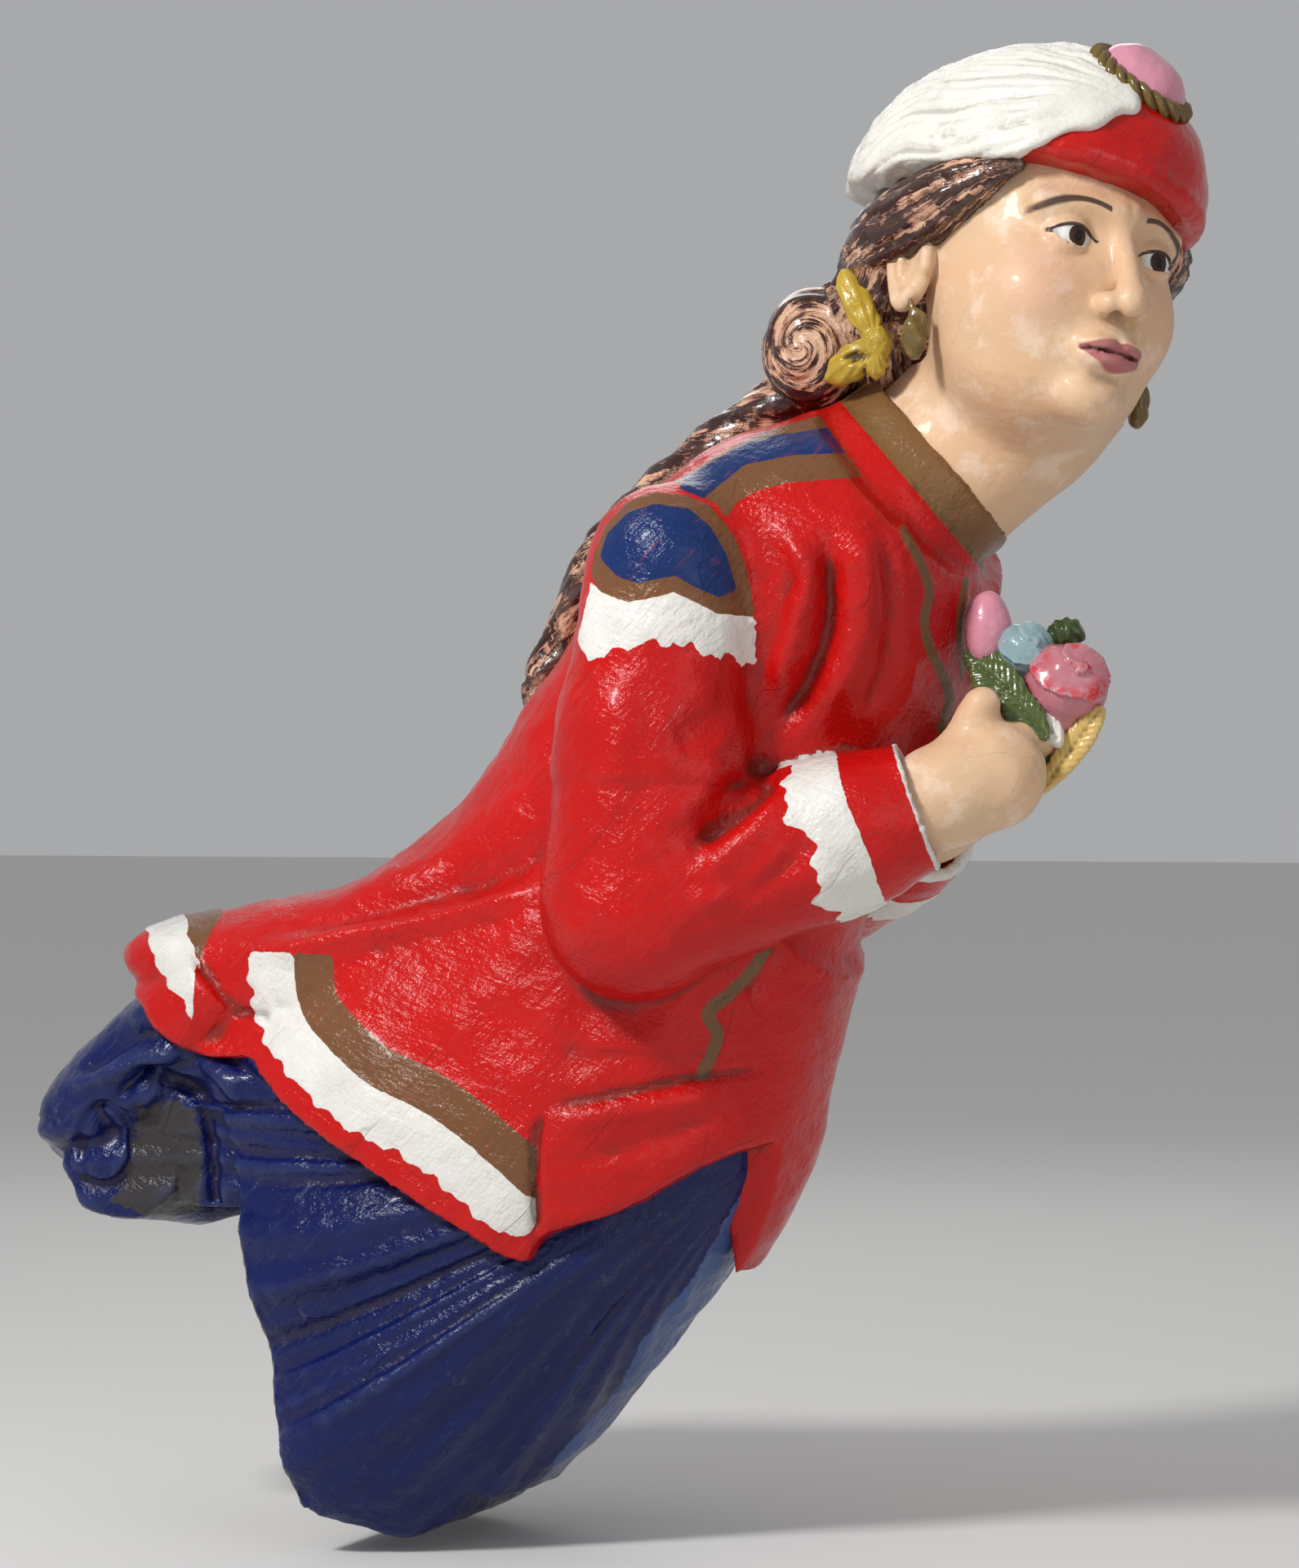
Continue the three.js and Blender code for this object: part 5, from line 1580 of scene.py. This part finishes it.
def petals(points, middle, size, turns, seed):
    """Ridges of a tight round flower: petal edges that wind round its middle."""
    off = (points - middle) / size
    tilt = off @ np.array([0.55, -0.65, 0.52])
    right = np.array([0.78, 0.62, -0.05])
    up = np.cross([0.55, -0.65, 0.52], right)
    turn = np.arctan2(off @ up, off @ right)
    reach = np.arccos(np.clip(tilt, -1, 1))
    wave = (reach * turns / math.pi + turn / (2 * math.pi) + 0.14 * np.sin(turn * 3 + reach * 5 + seed)) % 1
    return wave ** 2


ROOM, STEM_ROOM = 40, 60   # space left round a flower, and out from the middle of one with a stem


def flower(name, material, middle, size, relief, paint=None, stem=None):
    middle, size = np.array(middle, float), np.array(size, float)
    reach = STEM_ROOM if stem else size + ROOM
    field = Field(middle - reach, middle + reach, 1.3)
    field.join(ellipsoid(middle, size))
    if stem:
        field.join(stem, blend=8)
    sculpt(name, field, material, relief, paint)


def build_flowers():
    def rose_colour(tree):
        streak = rescale(tree, noise(tree, object_place(tree), 85.0, 4.0, 0.65, 1.2), 0.47, 0.56)
        red = maths(tree, "MULTIPLY", streak, rescale(tree, attribute(tree, "petal"), 0.05, 0.7))
        return blend_colour(tree, red, (0.55, 0.20, 0.24, 1.0), (0.62, 0.035, 0.04, 1.0))

    flower("figurehead_pink_bud", plain["pink"], (515, -40, 527), (17, 17, 29),
           lambda p, n: ripple(p, 24, 81) * 0.5)
    blue = np.array([543, -42, 513.0]), np.array([19.0, 18.0, 19.0])
    flower("figurehead_blue_flower", plain["pale blue"], *blue,
           lambda p, n: petals(p, *blue, 3.2, 1) * 2.6 + ripple(p, 12, 82) * 0.6)
    flower("figurehead_green_bud", plain["dark green"], (570, -32, 526), (13, 12, 11),
           lambda p, n: np.sin(p[:, 0] * 0.9 + p[:, 2] * 0.3) * 0.7 + ripple(p, 9, 83) * 0.9)
    rose = np.array([574.0, -45.0, 491.0]), np.array([28.0, 25.0, 26.0])
    rose_paint = finish("rose paint", rose_colour, (0.76, 0.45, 0.47, 1.0), vary=0.35, wear=0.3, grime=0.35,
                        split=0.0, bump=0.3, coat=0.4)
    flower("figurehead_rose", rose_paint, *rose,
           lambda p, n: petals(p, *rose, 3.6, 2) * 3.6 * step_up(p[:, 2], 462, 476) + ripple(p, 16, 84) * 0.8,
           lambda p, n: {"petal": petals(p, *rose, 3.6, 2) * step_up(p[:, 2], 468, 484)},
           limb(rose[0] + (-6, 0, -18), rose[0] + (-12, 2, -44), 15, 8))

    def leaf(name, paint_name, a, b, width, thick, seed):
        """A flat pointed leaf from a to b that faces the right side."""
        a, b = np.array(a, float), np.array(b, float)
        length = np.linalg.norm(b - a)
        run, side, face = facing(b - a, np.array([0.15, -0.95, 0.25]))

        def shape(x, y, z):
            along, across, deep = offsets((x, y, z), a, (run, side, face))
            half = width * np.sin(math.pi * np.clip(along / length, 0, 1) ** 0.8) ** 0.7 + 0.5
            blade = oval(across, deep - thick * 0.5 * np.abs(across) / width, half, thick)
            return np.maximum(blade, np.abs(along - length / 2) - length / 2)

        field = Field(np.minimum(a, b) - width - 8, np.maximum(a, b) + width + 8, 1.2)
        field.join(shape)

        def relief(points, normals):
            off = points - a
            across, along = off @ side, off @ run
            vein = -np.exp(-(across / 1.4) ** 2)
            return vein + 0.35 * np.sin((along + np.abs(across)) * 1.1) + ripple(points, 11, seed) * 0.5
        sculpt(f"figurehead_{name}", field, plain[paint_name], relief)

    for index, row in enumerate((
        ("leaf_1", "leaf green", (511, -62, 503), (553, -66, 472), 15, 6),
        ("leaf_2", "leaf green", (534, -66, 484), (566, -66, 450), 13, 6),
        ("leaf_3", "leaf green", (500, -44, 512), (538, -52, 494), 12, 7),
        ("wrap", "white", (528, -52, 486), (574, -54, 446), 17, 9),
        ("straw_leaf", "straw yellow", (600, -44, 474), (556, -50, 412), 10, 5),
        ("dark_leaf", "dark green", (590, -38, 474), (556, -42, 424), 12, 6),
    )):
        leaf(*row, 85 + index)


EAR_LOBE = np.array([0, 91, -44])


def build_ear_drops():
    for side, name in ((-1, "right"), (1, "left")):
        middle = from_head([EAR_LOBE * (1, side, 1)])[0] + (6, side * 3, -24)
        field = Field(middle - 30, middle + 34, 1.1)
        field.join(ellipsoid(middle, (9, 8, 17)))
        field.join(limb(middle + (0, 0, 12), middle + (-3, 0, 24), 2.4, 2.2), blend=3)
        sculpt(f"figurehead_{name}_ear_drop", field, plain["old gold"], lambda p, n: ripple(p, 12, 91) * 1.2)


# ---- put together ------------------------------------------------------------------------

build_skirt()
build_jacket()
flesh_paint = build_head()
build_hair()
build_cap()
build_cord()
build_plume()
build_ribbon()
build_hands(flesh_paint)
build_flowers()
build_ear_drops()

for piece in pieces:
    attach(piece, "root")
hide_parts("figurehead")   # the jacket
